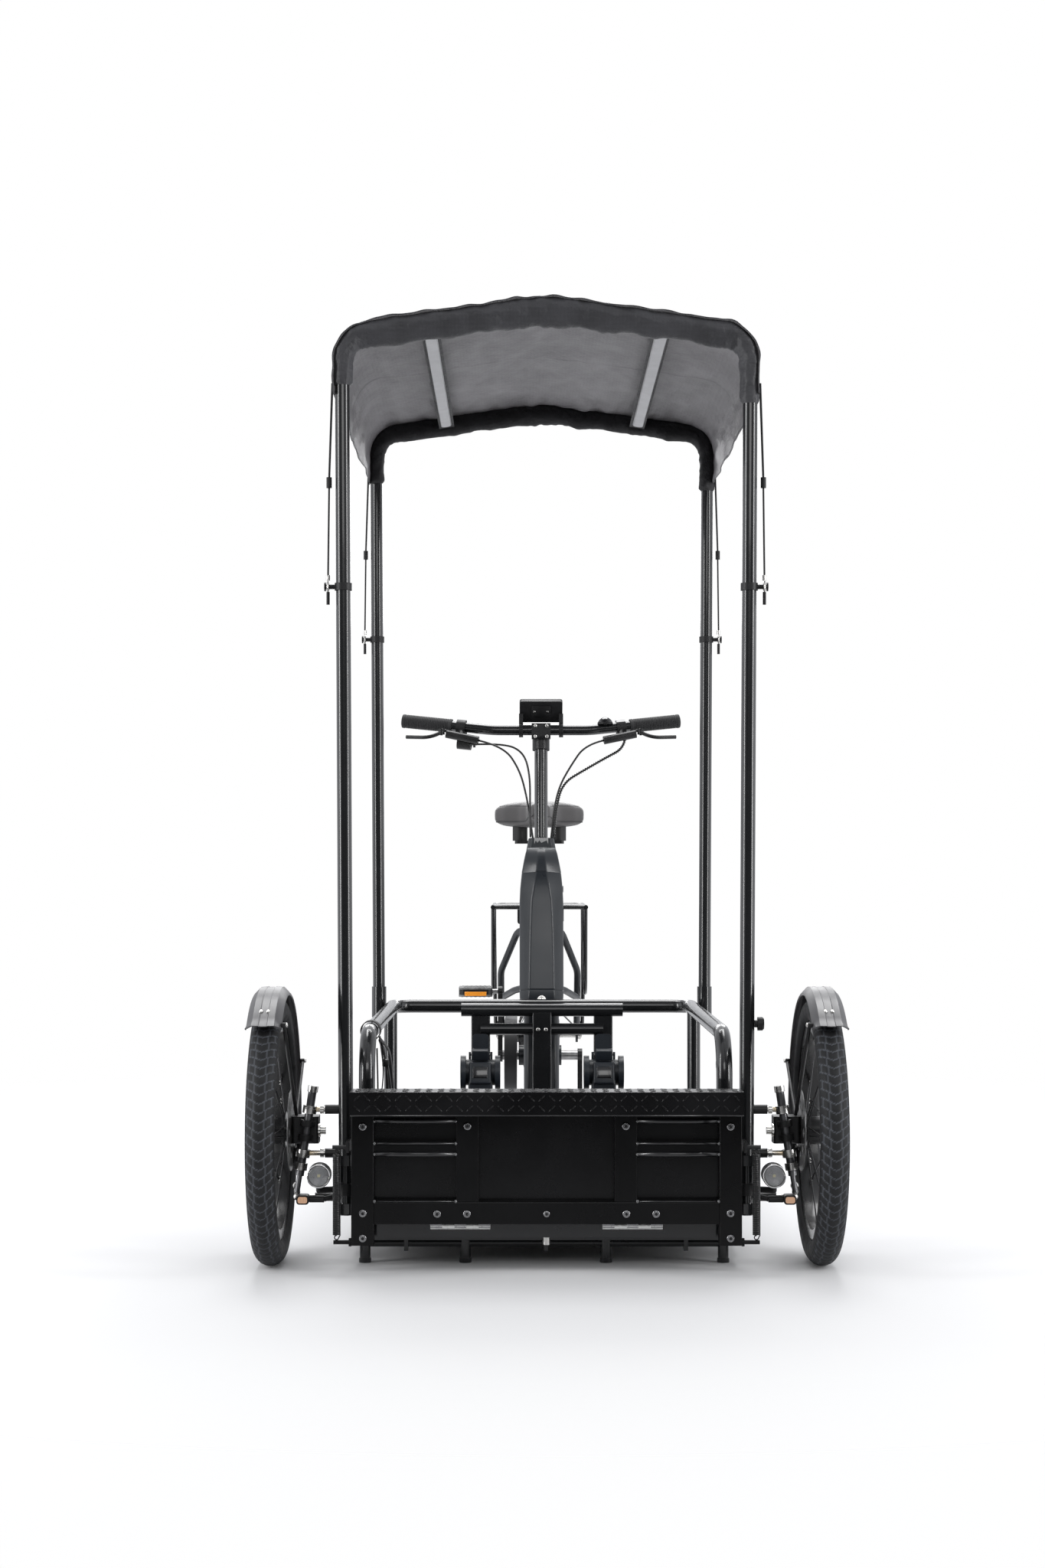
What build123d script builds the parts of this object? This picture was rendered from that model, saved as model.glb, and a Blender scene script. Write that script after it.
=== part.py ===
from build123d import *
import os
from math import atan2, cos, pi, radians, sin, tan

os.makedirs("parts", exist_ok=True)

# Wheelchair-transport tricycle: two steered front wheels beside a low platform
# with a folding ramp, a canopy on four poles, and a pedal bicycle behind.
# X is across (+X is the rider's left), -Y is forwards, +Z is up, ground is z = 0.
# Millimetres.

# ---------------------------------------------------------------- dimensions
# front wheels
FRONT_TRACK = 1054.0
FRONT_AXLE_Y = -1055.0
FRONT_WHEEL_R = 258.0
FRONT_TYRE_W = 57.0
FRONT_RIM_W = 36.0
RIM_DEPTH = 19.0
FRONT_HUB_R = 35.0
FRONT_SPOKES = 28
SPOKE_R = 1.2
AXLE_R = 10.0
ROTOR_R = 78.0
ROTOR_T = 2.0
# rear wheel
REAR_WHEEL_R = 300.0
REAR_TYRE_W = 50.0
REAR_HUB_R = 44.0
REAR_SPOKES = 32
REAR_FENDER_GAP = 19.0
FENDER_T = 2.2
# fits
RUN_FIT = 0.05
BODY_GAP = 0.3
# kingpins and knuckles
KINGPIN_TOP = (449.0, 333.0)
KINGPIN_FOOT = (478.5, 140.0)
KINGPIN_Y = -1064.0
KINGPIN_R = 8.0
UPPER_ARM_Z = 299.0
LOWER_ARM_Z = 215.0
STEER_ARM = 96.0
# platform
FLOOR_TOP = 95.0
FLOOR_T = 4.0
RAIL_TUBE = 40.0
TUBE_WALL = 2.5
PLATFORM_HALF = 366.0
PLATFORM_FRONT = -1132.0
PLATFORM_REAR = 10.0
LIP_HALF = 322.0
LIP_H = 23.0
# ramp
RAMP_HALF = 368.0
RAMP_TOP = 345.0
RAMP_FOOT = 52.0
RAMP_TUBE = 43.0
RAMP_T = 25.0
RAMP_NOSE_H = 44.0
RAMP_NOSE_D = 46.0
HINGE_Z = 85.0
HINGE_R = 6.0
HINGE_PIN_R = 3.0
HINGE_LEN = 114.0
HINGE_X = 163.0
# balance springs
SPRING_X = 396.0
SPRING_R = 5.5
SPRING_BOLT_Z = 57.0
SPRING_HIGH = 232.0
# parking stand
STAND_Y = -1031.0
STAND_Z = 38.0
STAND_R = 10.5
STAND_FEET = (-350.0, -156.0, 116.0, 343.0)
# canopy
POLE_R = 14.0
POLE_FOOT_X = 382.0
POLE_TOP_X = 390.0
FRONT_POLE_Y = -1090.0
POLE_JOINT_Z = 1712.0
FRONT_POLE_FOOT_Z = 100.0
APEX_Z = 1840.0
ROOF_SLOPE = 8.0
BOW_CORNER_R = 60.0
BOW_APEX_R = 160.0
CLOTH_T = 2.5
CLOTH_SIDE_Z = 1668.0
BATTEN_X = 223.0
BATTEN_W = 17.0
BATTEN_T = 7.0
CORD_R = 1.8
CORD_X = 417.0
CORD_KNOT_Z = 1503.0
CORD_STUD_Z = 1300.0
# guard rail
RAIL_R = 16.0
RAIL_BEND_R = 85.0
RAIL_CORNER_R = 45.0
RAIL_X = 350.0
RAIL_Z = 436.0
RAIL_FRONT_Y = -975.0
RAIL_REAR_Y = 12.0
REAR_LEG_Y = -110.0
SOCKET_R = 17.0
# docking unit
DOCK_Y = -40.0
DOCK_BAR_Z = 430.0
DOCK_BAR_R = 15.5
DOCK_BAR_HALF = 188.5
DOCK_LOW_Z = 385.0
DOCK_LOW_R = 13.5
DOCK_PLATE_X = 143.0
DOCK_PLATE_W = 44.0
DRUM_R = 30.0
DRUM_Z = 287.0
# steering column
COLUMN_FOOT = (80.0, 130.0)
COLUMN_HEAD = (203.0, 830.0)
COLUMN_W = 84.0
COLUMN_D = 66.0
SHAFT_R = 12.0
RISER_R = 16.0
RISER_TOP_Z = 1064.0
DRUM_PULLEY_R = 36.0
BATTERY_W = 105.0
BATTERY_D = 62.0
BATTERY_LOW_Z = 412.0
BATTERY_TOP_Z = 800.0
# handlebar
BAR_R = 12.7
BAR_Y = 236.0
BAR_Z = 1099.0
BAR_HALF = 338.0
BAR_RISE = 24.0
BAR_SWEEP = 34.0
BAR_STRAIGHT = 118.0
GRIP_R = 17.0
GRIP_LEN = 122.0
DISPLAY_W = 105.0
# drivetrain and seat
BB_Y = 570.0
BB_Z = 277.0
CRANK_LEN = 165.0
CRANK_X = 97.0
CRANK_T = 12.0
PEDAL_W = 86.0
PEDAL_L = 96.0
PEDAL_H = 24.0
PEDAL_PIN_R = 6.0
CHAIN_X = -76.0
CHAINRING_R = 74.0
SPROCKET_R = 38.0
CHAIN_T = 7.0
CASE_W = 32.0
CASE_WALL = 2.0
SEAT_ANGLE = 20.0
SEAT_TUBE_R = 19.0
SEAT_POST_R = 13.6
SEAT_TUBE_TOP_Z = 640.0
SADDLE_TOP = 940.0
SADDLE_W = 243.0
SADDLE_H = 66.0
SADDLE_L = 270.0
# rack
RACK_HALF = 125.0
RACK_Z = 655.0
RACK_FRONT_Y = 815.0
RACK_REAR_Y = 1255.0
RACK_R = 6.0
DROPOUT_X = 104.0
LAMP_HOLES = 80.0
LAMP_HOLE_R = 2.75

# ------------------------------------------------------------ derived places
FRONT_X = FRONT_TRACK / 2
REAR_FENDER_R = REAR_WHEEL_R + REAR_FENDER_GAP + FENDER_T
REAR_AXLE_Y = FRONT_WHEEL_R - FRONT_AXLE_Y - REAR_FENDER_R
COLUMN_TILT = atan2(COLUMN_HEAD[0] - COLUMN_FOOT[0], COLUMN_HEAD[1] - COLUMN_FOOT[1])
COLUMN_AXIS = Vector(0, sin(COLUMN_TILT), cos(COLUMN_TILT))
BOTTOM = (Align.CENTER, Align.CENTER, Align.MIN)
SIDES = (-1, 1)


# ------------------------------------------------------------------- helpers
def save(node, *items):
    """Write one node; each separate piece stays its own solid."""
    solids = [solid for item in items for solid in item.solids()]
    export_step(Compound(label=node, children=solids), f"parts/{node}.step")


def rod(start, end, radius, bore=0.0):
    """Round bar between two points, or a tube when a bore radius is given."""
    axis = Vector(*end) - Vector(*start)
    place = Plane(origin=start, z_dir=axis)
    solid = place * Cylinder(radius, axis.length, align=BOTTOM)
    if bore:
        solid -= place * Cylinder(bore, axis.length, align=BOTTOM)
    return solid


def bent(points, bends, radius, bore=0.0):
    """Round bar bent along straight runs joined by tangent arcs."""
    path = FilletPolyline(*points, radius=bends)
    start = Plane(origin=path @ 0, z_dir=path % 0)
    section = start * Circle(radius)
    if bore:
        section -= start * Circle(bore)
    return sweep(section, path=path)


def block(x, y, z, edge=0.0, along=Axis.Z):
    """Box between limits, with its edges along one axis rounded."""
    size = [max(pair) - min(pair) for pair in (x, y, z)]
    middle = [sum(pair) / 2 for pair in (x, y, z)]
    solid = Pos(*middle) * Box(*size)
    if edge:
        solid = fillet(solid.edges().filter_by(along), edge)
    return solid


def box_tube(x, y, z, open_axis):
    """Square tube between limits, open along axis 0, 1 or 2."""
    limits = [x, y, z]
    bore = [span if axis == open_axis else (min(span) + TUBE_WALL, max(span) - TUBE_WALL)
            for axis, span in enumerate(limits)]
    return block(*limits) - block(*bore)


def mirrored(solid):
    """The same piece on the other side of the centre plane."""
    return solid.mirror(Plane.YZ)


def pair(solid):
    """A piece and its mirror image."""
    return [solid, mirrored(solid)]


def fused(first, *others):
    """One solid from several that are welded or moulded together."""
    for other in others:
        first = first + other
    return first


def column_point(z, forward=0.0):
    """Point on the steering axis at a height, moved square to it, forwards."""
    along = (z - COLUMN_FOOT[1]) / cos(COLUMN_TILT)
    y = COLUMN_FOOT[0] + along * sin(COLUMN_TILT)
    return (0, y - forward * cos(COLUMN_TILT), z + forward * sin(COLUMN_TILT))


def column_plane(z, forward=0.0):
    """Plane square to the steering axis, its x across the tricycle."""
    return Plane(origin=column_point(z, forward), x_dir=(1, 0, 0), z_dir=COLUMN_AXIS)


def seat_point(z):
    """Point on the seat tube's axis at a height."""
    return (0, BB_Y + (z - BB_Z) * tan(radians(SEAT_ANGLE)), z)


def kingpin_x(z):
    """How far out the kingpin's axis is at a height."""
    top, foot = KINGPIN_TOP, KINGPIN_FOOT
    return top[0] + (top[1] - z) * (foot[0] - top[0]) / (top[1] - foot[1])


def pole_x(z):
    """How far out a canopy pole's axis is at a height."""
    share = (z - FRONT_POLE_FOOT_Z) / (POLE_JOINT_Z - FRONT_POLE_FOOT_Z)
    return POLE_FOOT_X + (POLE_TOP_X - POLE_FOOT_X) * share


def ring_sector(centre, section, rear_angle, front_angle):
    """Revolve a section, given as (across, radius) points, round a wheel's axis.

    The angles are from straight up, to the rear and to the front."""
    rear = radians(rear_angle)
    up = Vector(0, sin(rear), cos(rear))
    plane = Plane(origin=centre, x_dir=(1, 0, 0), z_dir=Vector(1, 0, 0).cross(up))
    face = plane * make_face(Polyline(*section, close=True))
    return revolve(face, Axis(centre, (1, 0, 0)), rear_angle + front_angle)


# -------------------------------------------------------------------- wheels
def tyre(centre, radius, width):
    """Round-section tyre, flat where it sits on the rim."""
    minor = width / 2
    place = Plane(origin=centre, z_dir=(1, 0, 0))
    seat = radius - 0.86 * width
    return place * Torus(radius - minor, minor) - place * Cylinder(seat, width)


def wheel(centre, radius, width, rim_w, hub_r, hub_half, spokes, bore):
    """Rim, hub and crossed spokes inside a tyre, each its own solid."""
    x, y, z = centre
    seat = radius - 0.86 * width
    inner = seat - RIM_DEPTH
    rim = rod((x - rim_w / 2, y, z), (x + rim_w / 2, y, z), seat, inner)
    hub = rod((x - hub_half, y, z), (x + hub_half, y, z), hub_r - 8, bore)
    for side in SIDES:
        edge = x + side * hub_half
        flange = rod((edge - side * 6, y, z), (edge, y, z), hub_r, bore)
        hub = hub + flange
    pieces = [rim, hub]
    for number in range(spokes):
        turn = 2 * pi * number / spokes
        side = 1 if number % 2 else -1
        lean = radians(14) * (1 if number % 4 < 2 else -1)
        foot = Vector(x + side * (hub_half - 3), y, z)
        foot = foot + Vector(0, sin(turn), cos(turn)) * (hub_r - 0.5)
        head = Vector(x, y, z) + Vector(0, sin(turn + lean), cos(turn + lean)) * (inner + 0.5)
        spoke = rod(tuple(foot), tuple(head), SPOKE_R)
        pieces.append(spoke - rim - hub)
    return pieces


def rotor(x, y, z, bore):
    """Brake disc with a ring of slots between its arms."""
    disc = rod((x, y, z), (x + ROTOR_T, y, z), ROTOR_R, bore)
    slot_r = 0.62 * ROTOR_R
    for number in range(8):
        turn = 2 * pi * number / 8
        spot = (y + slot_r * sin(turn), z + slot_r * cos(turn))
        disc -= rod((x, *spot), (x + ROTOR_T, *spot), 9)
    return disc


HUB_HALF = 27.0
ROTOR_X = FRONT_X - HUB_HALF - 8.0
front_centre = (FRONT_X, FRONT_AXLE_Y, FRONT_WHEEL_R)
left_tyre = tyre(front_centre, FRONT_WHEEL_R, FRONT_TYRE_W)
left_wheel = wheel(front_centre, FRONT_WHEEL_R, FRONT_TYRE_W, FRONT_RIM_W, FRONT_HUB_R,
                   HUB_HALF, FRONT_SPOKES, AXLE_R + RUN_FIT)
rotor_boss = rod((ROTOR_X, FRONT_AXLE_Y, FRONT_WHEEL_R),
                 (FRONT_X - HUB_HALF, FRONT_AXLE_Y, FRONT_WHEEL_R), 22, AXLE_R + RUN_FIT)
left_wheel[1] = left_wheel[1] + rotor_boss
left_rotor = rotor(ROTOR_X - ROTOR_T, FRONT_AXLE_Y, FRONT_WHEEL_R, AXLE_R + RUN_FIT)
left_wheel.append(left_rotor)
save("front_left_tyre", left_tyre)
save("front_left_wheel", *left_wheel)
save("front_right_tyre", mirrored(left_tyre))
save("front_right_wheel", *[mirrored(piece) for piece in left_wheel])

REAR_HUB_HALF = 56.0
REAR_AXLE_R = 7.0
rear_centre = (0, REAR_AXLE_Y, REAR_WHEEL_R)
rear_wheel = wheel(rear_centre, REAR_WHEEL_R, REAR_TYRE_W, 32.0, REAR_HUB_R,
                   REAR_HUB_HALF, REAR_SPOKES, REAR_AXLE_R + RUN_FIT)
driver = rod((-REAR_HUB_HALF, REAR_AXLE_Y, REAR_WHEEL_R),
             (CHAIN_X - 2, REAR_AXLE_Y, REAR_WHEEL_R), 20, REAR_AXLE_R + RUN_FIT)
sprocket = rod((CHAIN_X - 2, REAR_AXLE_Y, REAR_WHEEL_R),
               (CHAIN_X + 2, REAR_AXLE_Y, REAR_WHEEL_R), SPROCKET_R, 20)
rear_wheel[1] = rear_wheel[1] + driver
rear_wheel.append(sprocket)
save("rear_tyre", tyre(rear_centre, REAR_WHEEL_R, REAR_TYRE_W))
save("rear_wheel", *rear_wheel)


# ------------------------------------------------------------------- fenders
def fender(centre, radius, half, rear_angle, front_angle):
    """Mudguard band with a flat crown and sloping sides."""
    crown = 0.6 * half
    drop = 14.0
    outer = [(-half, radius - drop), (-crown, radius), (crown, radius), (half, radius - drop)]
    inner = [(across * 0.94, level - FENDER_T) for across, level in reversed(outer)]
    return ring_sector(centre, outer + inner, rear_angle, front_angle)


FENDER_R = FRONT_WHEEL_R + 19.0
FENDER_HALF = 33.0
FENDER_REAR = 96.0
FENDER_FRONT = 41.0
left_fender = fender(front_centre, FENDER_R, FENDER_HALF, FENDER_REAR, FENDER_FRONT)
STAY_R = 3.5
STAY_EDGE_R = FENDER_R - 15.0


def fender_spot(angle, across):
    """Point on the fender's inner edge; the angle is from straight up, forwards."""
    turn = radians(angle)
    y = FRONT_AXLE_Y - STAY_EDGE_R * sin(turn)
    return (across, y, FRONT_WHEEL_R + STAY_EDGE_R * cos(turn))


STAY_X = FRONT_X - FENDER_HALF - STAY_R - 1.0
KNUCKLE_LUG = (STAY_X - 8.0, FRONT_AXLE_Y + 6.0, 288.0)
front_stay = rod(fender_spot(36, STAY_X), KNUCKLE_LUG, STAY_R)
rear_stay = rod(fender_spot(-64, STAY_X), KNUCKLE_LUG, STAY_R)
stays = front_stay + rear_stay
for angle in (36, -64):
    spot = fender_spot(angle, STAY_X)
    clip = block((STAY_X - 6, FRONT_X - FENDER_HALF + 1), (spot[1] - 9, spot[1] + 9),
                 (spot[2] - 4, spot[2] + 4))
    stays = stays + (clip - left_fender)
save("fender_left", left_fender, stays)
save("fender_right", mirrored(left_fender), mirrored(stays))

# ------------------------------------------------------------------ knuckles
BLOCK_X = (438.0, 490.0)
BLOCK_Y = (KINGPIN_Y + KINGPIN_R, KINGPIN_Y + KINGPIN_R + 46.0)
BLOCK_Z = (232.0, 284.0)
kingpin_axis = Vector(KINGPIN_TOP[0] - KINGPIN_FOOT[0], 0, KINGPIN_TOP[1] - KINGPIN_FOOT[1])


def on_kingpin(z, length, radius, bore=0.0):
    """Short cylinder round the kingpin's axis, centred at a height."""
    half = kingpin_axis.normalized() * (length / 2)
    middle = Vector(kingpin_x(z), KINGPIN_Y, z)
    return rod(tuple(middle - half), tuple(middle + half), radius, bore)


kingpin = rod((kingpin_x(172), KINGPIN_Y, 172), (KINGPIN_TOP[0], KINGPIN_Y, KINGPIN_TOP[1]),
              KINGPIN_R)
lower_pin = rod((KINGPIN_FOOT[0], KINGPIN_Y, KINGPIN_FOOT[1]),
                (kingpin_x(172), KINGPIN_Y, 172), 5.0)
kingpin = kingpin + lower_pin
top_nut = on_kingpin(KINGPIN_TOP[1] + 5.5, 12, 10)
clamp_nut = on_kingpin(190, 14, 12, KINGPIN_R)
knuckle_block = block(BLOCK_X, BLOCK_Y, BLOCK_Z, 6)
for lug_z in (245, 272):
    lug = on_kingpin(lug_z, 12, 14, KINGPIN_R)
    knuckle_block = knuckle_block + lug
knuckle_block = knuckle_block - on_kingpin(258, 160, KINGPIN_R)
caliper_arm = block((470, 482), (FRONT_AXLE_Y + 20, FRONT_AXLE_Y + 62), (212, 240), 4, Axis.X)
knuckle_block = knuckle_block + caliper_arm
stub_axle = rod((BLOCK_X[1], FRONT_AXLE_Y, FRONT_WHEEL_R),
                (FRONT_X + HUB_HALF + 8, FRONT_AXLE_Y, FRONT_WHEEL_R), AXLE_R)
axle_cap = rod((FRONT_X + HUB_HALF + BODY_GAP, FRONT_AXLE_Y, FRONT_WHEEL_R),
               (FRONT_X + HUB_HALF + 8, FRONT_AXLE_Y, FRONT_WHEEL_R), 15, AXLE_R)
axle_bolt = rod((BLOCK_X[0] - 14, FRONT_AXLE_Y, FRONT_WHEEL_R),
                (BLOCK_X[0], FRONT_AXLE_Y, FRONT_WHEEL_R), 8)
axle_washer = rod((BLOCK_X[0] - 4, FRONT_AXLE_Y, FRONT_WHEEL_R),
                  (BLOCK_X[0], FRONT_AXLE_Y, FRONT_WHEEL_R), 13, 8)
rotor_mid = ROTOR_X - ROTOR_T / 2
caliper = block((rotor_mid - 13, rotor_mid + 8), (FRONT_AXLE_Y + 42, FRONT_AXLE_Y + 82),
                (FRONT_WHEEL_R - 76, FRONT_WHEEL_R - 38), 6, Axis.X)
caliper -= rod((rotor_mid - 2.5, FRONT_AXLE_Y, FRONT_WHEEL_R),
               (rotor_mid + 2.5, FRONT_AXLE_Y, FRONT_WHEEL_R), ROTOR_R + 2)
caliper -= caliper_arm
steer_tip = (488.0, KINGPIN_Y + STEER_ARM, KINGPIN_FOOT[1])
steer_arm = rod((KINGPIN_FOOT[0], KINGPIN_Y, KINGPIN_FOOT[1]), steer_tip, 6)
steer_ball = Pos(*steer_tip) * Sphere(8)
steer_arm = fused(steer_arm, steer_ball) - lower_pin
knuckle = [kingpin, top_nut - kingpin, clamp_nut, knuckle_block, stub_axle, axle_cap, axle_bolt,
           axle_washer, caliper, steer_arm]
save("knuckle_left", *knuckle)
save("knuckle_right", *[mirrored(piece) for piece in knuckle])

# arms that carry the kingpins, fixed to the platform's sides
ARM_PLATE_T = 6.0
PLATE_OUT = PLATFORM_HALF + ARM_PLATE_T
arm_plate = block((PLATFORM_HALF, PLATE_OUT), (KINGPIN_Y - 9, KINGPIN_Y + 44), (52, 314), 8,
                  Axis.X)
arms = [arm_plate]
for arm_z in (UPPER_ARM_Z, LOWER_ARM_Z):
    eye_x = kingpin_x(arm_z)
    sleeve = rod((PLATE_OUT, KINGPIN_Y, arm_z), (425, KINGPIN_Y, arm_z), 9)
    shank = rod((425, KINGPIN_Y, arm_z), (eye_x - KINGPIN_R, KINGPIN_Y, arm_z), 5)
    nut = rod((427, KINGPIN_Y, arm_z), (434, KINGPIN_Y, arm_z), 8.5, 5)
    eye = on_kingpin(arm_z, 15, 13.5)
    clearance = on_kingpin(arm_z, 40, KINGPIN_R + RUN_FIT)
    arms += [sleeve, fused(shank, eye) - clearance, nut - eye]
GUIDE_Z = 118.0
GUIDE_Y = KINGPIN_Y + STEER_ARM
ROD_R = 5.0
guide = rod((PLATE_OUT, GUIDE_Y, GUIDE_Z), (452, GUIDE_Y, GUIDE_Z), 8.5, ROD_R + RUN_FIT)
guide_plate = block((PLATFORM_HALF, PLATE_OUT), (GUIDE_Y - 18, GUIDE_Y + 18), (60, 136), 6, Axis.X)
guide_plate -= rod((PLATFORM_HALF, GUIDE_Y, GUIDE_Z), (PLATE_OUT, GUIDE_Y, GUIDE_Z), ROD_R + 0.5)
arms += [guide, guide_plate]
save("kingpin_arms", *[piece for arm in arms for piece in pair(arm)])

# sliding end rods of the push-pull steering cables
end_rod = rod((412, GUIDE_Y, GUIDE_Z), (steer_tip[0] - 5, GUIDE_Y, GUIDE_Z), ROD_R)
end_ball = Pos(steer_tip[0], GUIDE_Y, GUIDE_Z) * Sphere(7)
save("steering_rods", *pair(fused(end_rod, end_ball)))

# ------------------------------------------------------------------ platform
RAIL_LOW = FLOOR_TOP - FLOOR_T - RAIL_TUBE
RAIL_HIGH = FLOOR_TOP - FLOOR_T
LIP_REAR = PLATFORM_FRONT + 45.0
side_rail = box_tube((PLATFORM_HALF - RAIL_TUBE, PLATFORM_HALF), (LIP_REAR, PLATFORM_REAR),
                     (RAIL_LOW, RAIL_HIGH), 1)
cross_half = PLATFORM_HALF - RAIL_TUBE
cross_members = []
for start in (LIP_REAR, -760.0, -390.0, PLATFORM_REAR - RAIL_TUBE):
    member = box_tube((-cross_half, cross_half), (start, start + RAIL_TUBE), (RAIL_LOW, RAIL_HIGH), 0)
    cross_members.append(member)
lip = block((-LIP_HALF, LIP_HALF), (PLATFORM_FRONT + HINGE_R, LIP_REAR),
            (HINGE_Z - LIP_H, RAIL_HIGH))
stand_ears = []
for ear_x in (-270.0, 0.0, 270.0):
    ear = block((ear_x - 4, ear_x + 4), (STAND_Y - 14, STAND_Y + 14), (STAND_Z - 14, RAIL_LOW))
    ear -= rod((ear_x - 4, STAND_Y, STAND_Z), (ear_x + 4, STAND_Y, STAND_Z), 8 + RUN_FIT)
    bridge = block((ear_x - 4, ear_x + 4), (LIP_REAR + RAIL_TUBE, STAND_Y), (RAIL_LOW, RAIL_HIGH))
    stand_ears.append(ear + bridge)
save("platform_frame", *pair(side_rail), *cross_members, lip, *stand_ears)

floor = block((-PLATFORM_HALF, PLATFORM_HALF), (PLATFORM_FRONT + 46, PLATFORM_REAR),
              (RAIL_HIGH, FLOOR_TOP))
floor += block((-LIP_HALF, LIP_HALF), (PLATFORM_FRONT + HINGE_R + 1, PLATFORM_FRONT + 46),
               (RAIL_HIGH, FLOOR_TOP))
save("platform_floor", floor)

# parking stand: a cross bar with four legs that folds back under the floor
stand_bar = rod((STAND_FEET[0], STAND_Y, STAND_Z), (STAND_FEET[3], STAND_Y, STAND_Z), 8)
stand = stand_bar
for foot_x in STAND_FEET:
    leg = rod((foot_x, STAND_Y, 6), (foot_x, STAND_Y, STAND_Z + 6), STAND_R)
    foot = rod((foot_x, STAND_Y, 0), (foot_x, STAND_Y, 8), STAND_R + 1.5)
    stand = fused(stand, leg, foot)
save("parking_stand", stand)

# ---------------------------------------------------------------------- ramp
HINGE_Y = PLATFORM_FRONT
PANEL_REAR = HINGE_Y - HINGE_R - 1.0
PANEL_FRONT = PANEL_REAR - RAMP_T
SPRING_Y = PANEL_FRONT + 12.0
INNER_POST_X = (128.0, 170.0)
BEAM_LOW = HINGE_Z + HINGE_R + 1.0
BEAM_HIGH = BEAM_LOW + RAMP_TUBE
panel_y = (PANEL_FRONT, PANEL_REAR)
channel = block((RAMP_HALF - RAMP_TUBE, RAMP_HALF), panel_y, (RAMP_FOOT, RAMP_TOP - 4), 3)
inner_post = block(INNER_POST_X, panel_y, (BEAM_HIGH, RAMP_TOP - 4))
beam = block((RAMP_TUBE - RAMP_HALF, RAMP_HALF - RAMP_TUBE), panel_y, (BEAM_LOW, BEAM_HIGH), 3,
             Axis.X)
TOP_RIB = (RAMP_TOP - 62.0, RAMP_TOP - 30.0)
MID_RIB = (220.0, 246.0)
ribs = []
for rib_z in (TOP_RIB, MID_RIB):
    ribs.append(block((INNER_POST_X[1], RAMP_HALF - RAMP_TUBE),
                      (PANEL_FRONT + 4, PANEL_REAR), rib_z, 3, Axis.X))
bolt_lug = rod((RAMP_HALF, SPRING_Y, SPRING_BOLT_Z), (RAMP_HALF + 5, SPRING_Y, SPRING_BOLT_Z), 8)
bolt_lug += rod((RAMP_HALF, SPRING_Y, SPRING_BOLT_Z), (SPRING_X + 6, SPRING_Y, SPRING_BOLT_Z), 4)
frame_half = fused(channel, inner_post, *ribs, bolt_lug)
ramp_frame = fused(beam, frame_half, mirrored(frame_half))
save("ramp_frame", ramp_frame)

PLATE_T = 3.0
NOSE_FRONT = PANEL_FRONT - RAMP_NOSE_D
back_plate = block((-RAMP_HALF, RAMP_HALF), (PANEL_REAR, PANEL_REAR + PLATE_T),
                   (BEAM_LOW, RAMP_TOP - 4))
nose_top = block((-RAMP_HALF, RAMP_HALF), (NOSE_FRONT, PANEL_REAR + PLATE_T),
                 (RAMP_TOP - 4, RAMP_TOP))
nose_skirt = block((-RAMP_HALF, RAMP_HALF), (NOSE_FRONT, NOSE_FRONT + PLATE_T),
                   (RAMP_TOP - RAMP_NOSE_H, RAMP_TOP))
nose_cheek = block((RAMP_HALF - PLATE_T, RAMP_HALF), (NOSE_FRONT, PANEL_FRONT),
                   (RAMP_TOP - RAMP_NOSE_H, RAMP_TOP))
save("ramp_plates", fused(back_plate, nose_top, nose_skirt, *pair(nose_cheek)))


def hinge_pieces(middle):
    """Piano hinge: five knuckles on a pin, odd ones on the ramp."""
    fixed, moving = [], []
    knuckles = 5
    pitch = HINGE_LEN / knuckles
    for number in range(knuckles):
        left = middle - HINGE_LEN / 2 + number * pitch + 0.2
        right = left + pitch - 0.4
        if number % 2:
            barrel = rod((left, HINGE_Y, HINGE_Z), (right, HINGE_Y, HINGE_Z), HINGE_R,
                         HINGE_PIN_R)
            leaf = block((left, right), (HINGE_Y + 3, PLATFORM_FRONT + HINGE_R),
                         (HINGE_Z - 4, HINGE_Z + 4))
            leaf -= rod((left, HINGE_Y, HINGE_Z), (right, HINGE_Y, HINGE_Z), HINGE_PIN_R + 1)
            fixed.append(barrel + leaf)
        else:
            barrel = rod((left, HINGE_Y, HINGE_Z), (right, HINGE_Y, HINGE_Z), HINGE_R,
                         HINGE_PIN_R + RUN_FIT)
            leaf = block((left, right), (HINGE_Y - HINGE_R - 1, HINGE_Y - 3),
                         (HINGE_Z - 3, BEAM_LOW + 12))
            leaf -= rod((left, HINGE_Y, HINGE_Z), (right, HINGE_Y, HINGE_Z), HINGE_PIN_R + 1)
            leaf -= back_plate
            leaf -= ramp_frame
            moving.append(barrel + leaf)
    pin = rod((middle - HINGE_LEN / 2, HINGE_Y, HINGE_Z), (middle + HINGE_LEN / 2, HINGE_Y, HINGE_Z),
              HINGE_PIN_R)
    fixed.append(pin)
    return fixed, moving


def button_head(x, z, face, radius=7.5):
    """Domed screw head standing out of a face that looks forwards."""
    head = rod((x, face, z), (x, face - 4, z), radius)
    head = fillet(head.edges().sort_by(Axis.Y)[0], 2.5)
    return head - rod((x, face - 4, z), (x, face - 1.5, z), 0.4 * radius)


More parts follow.
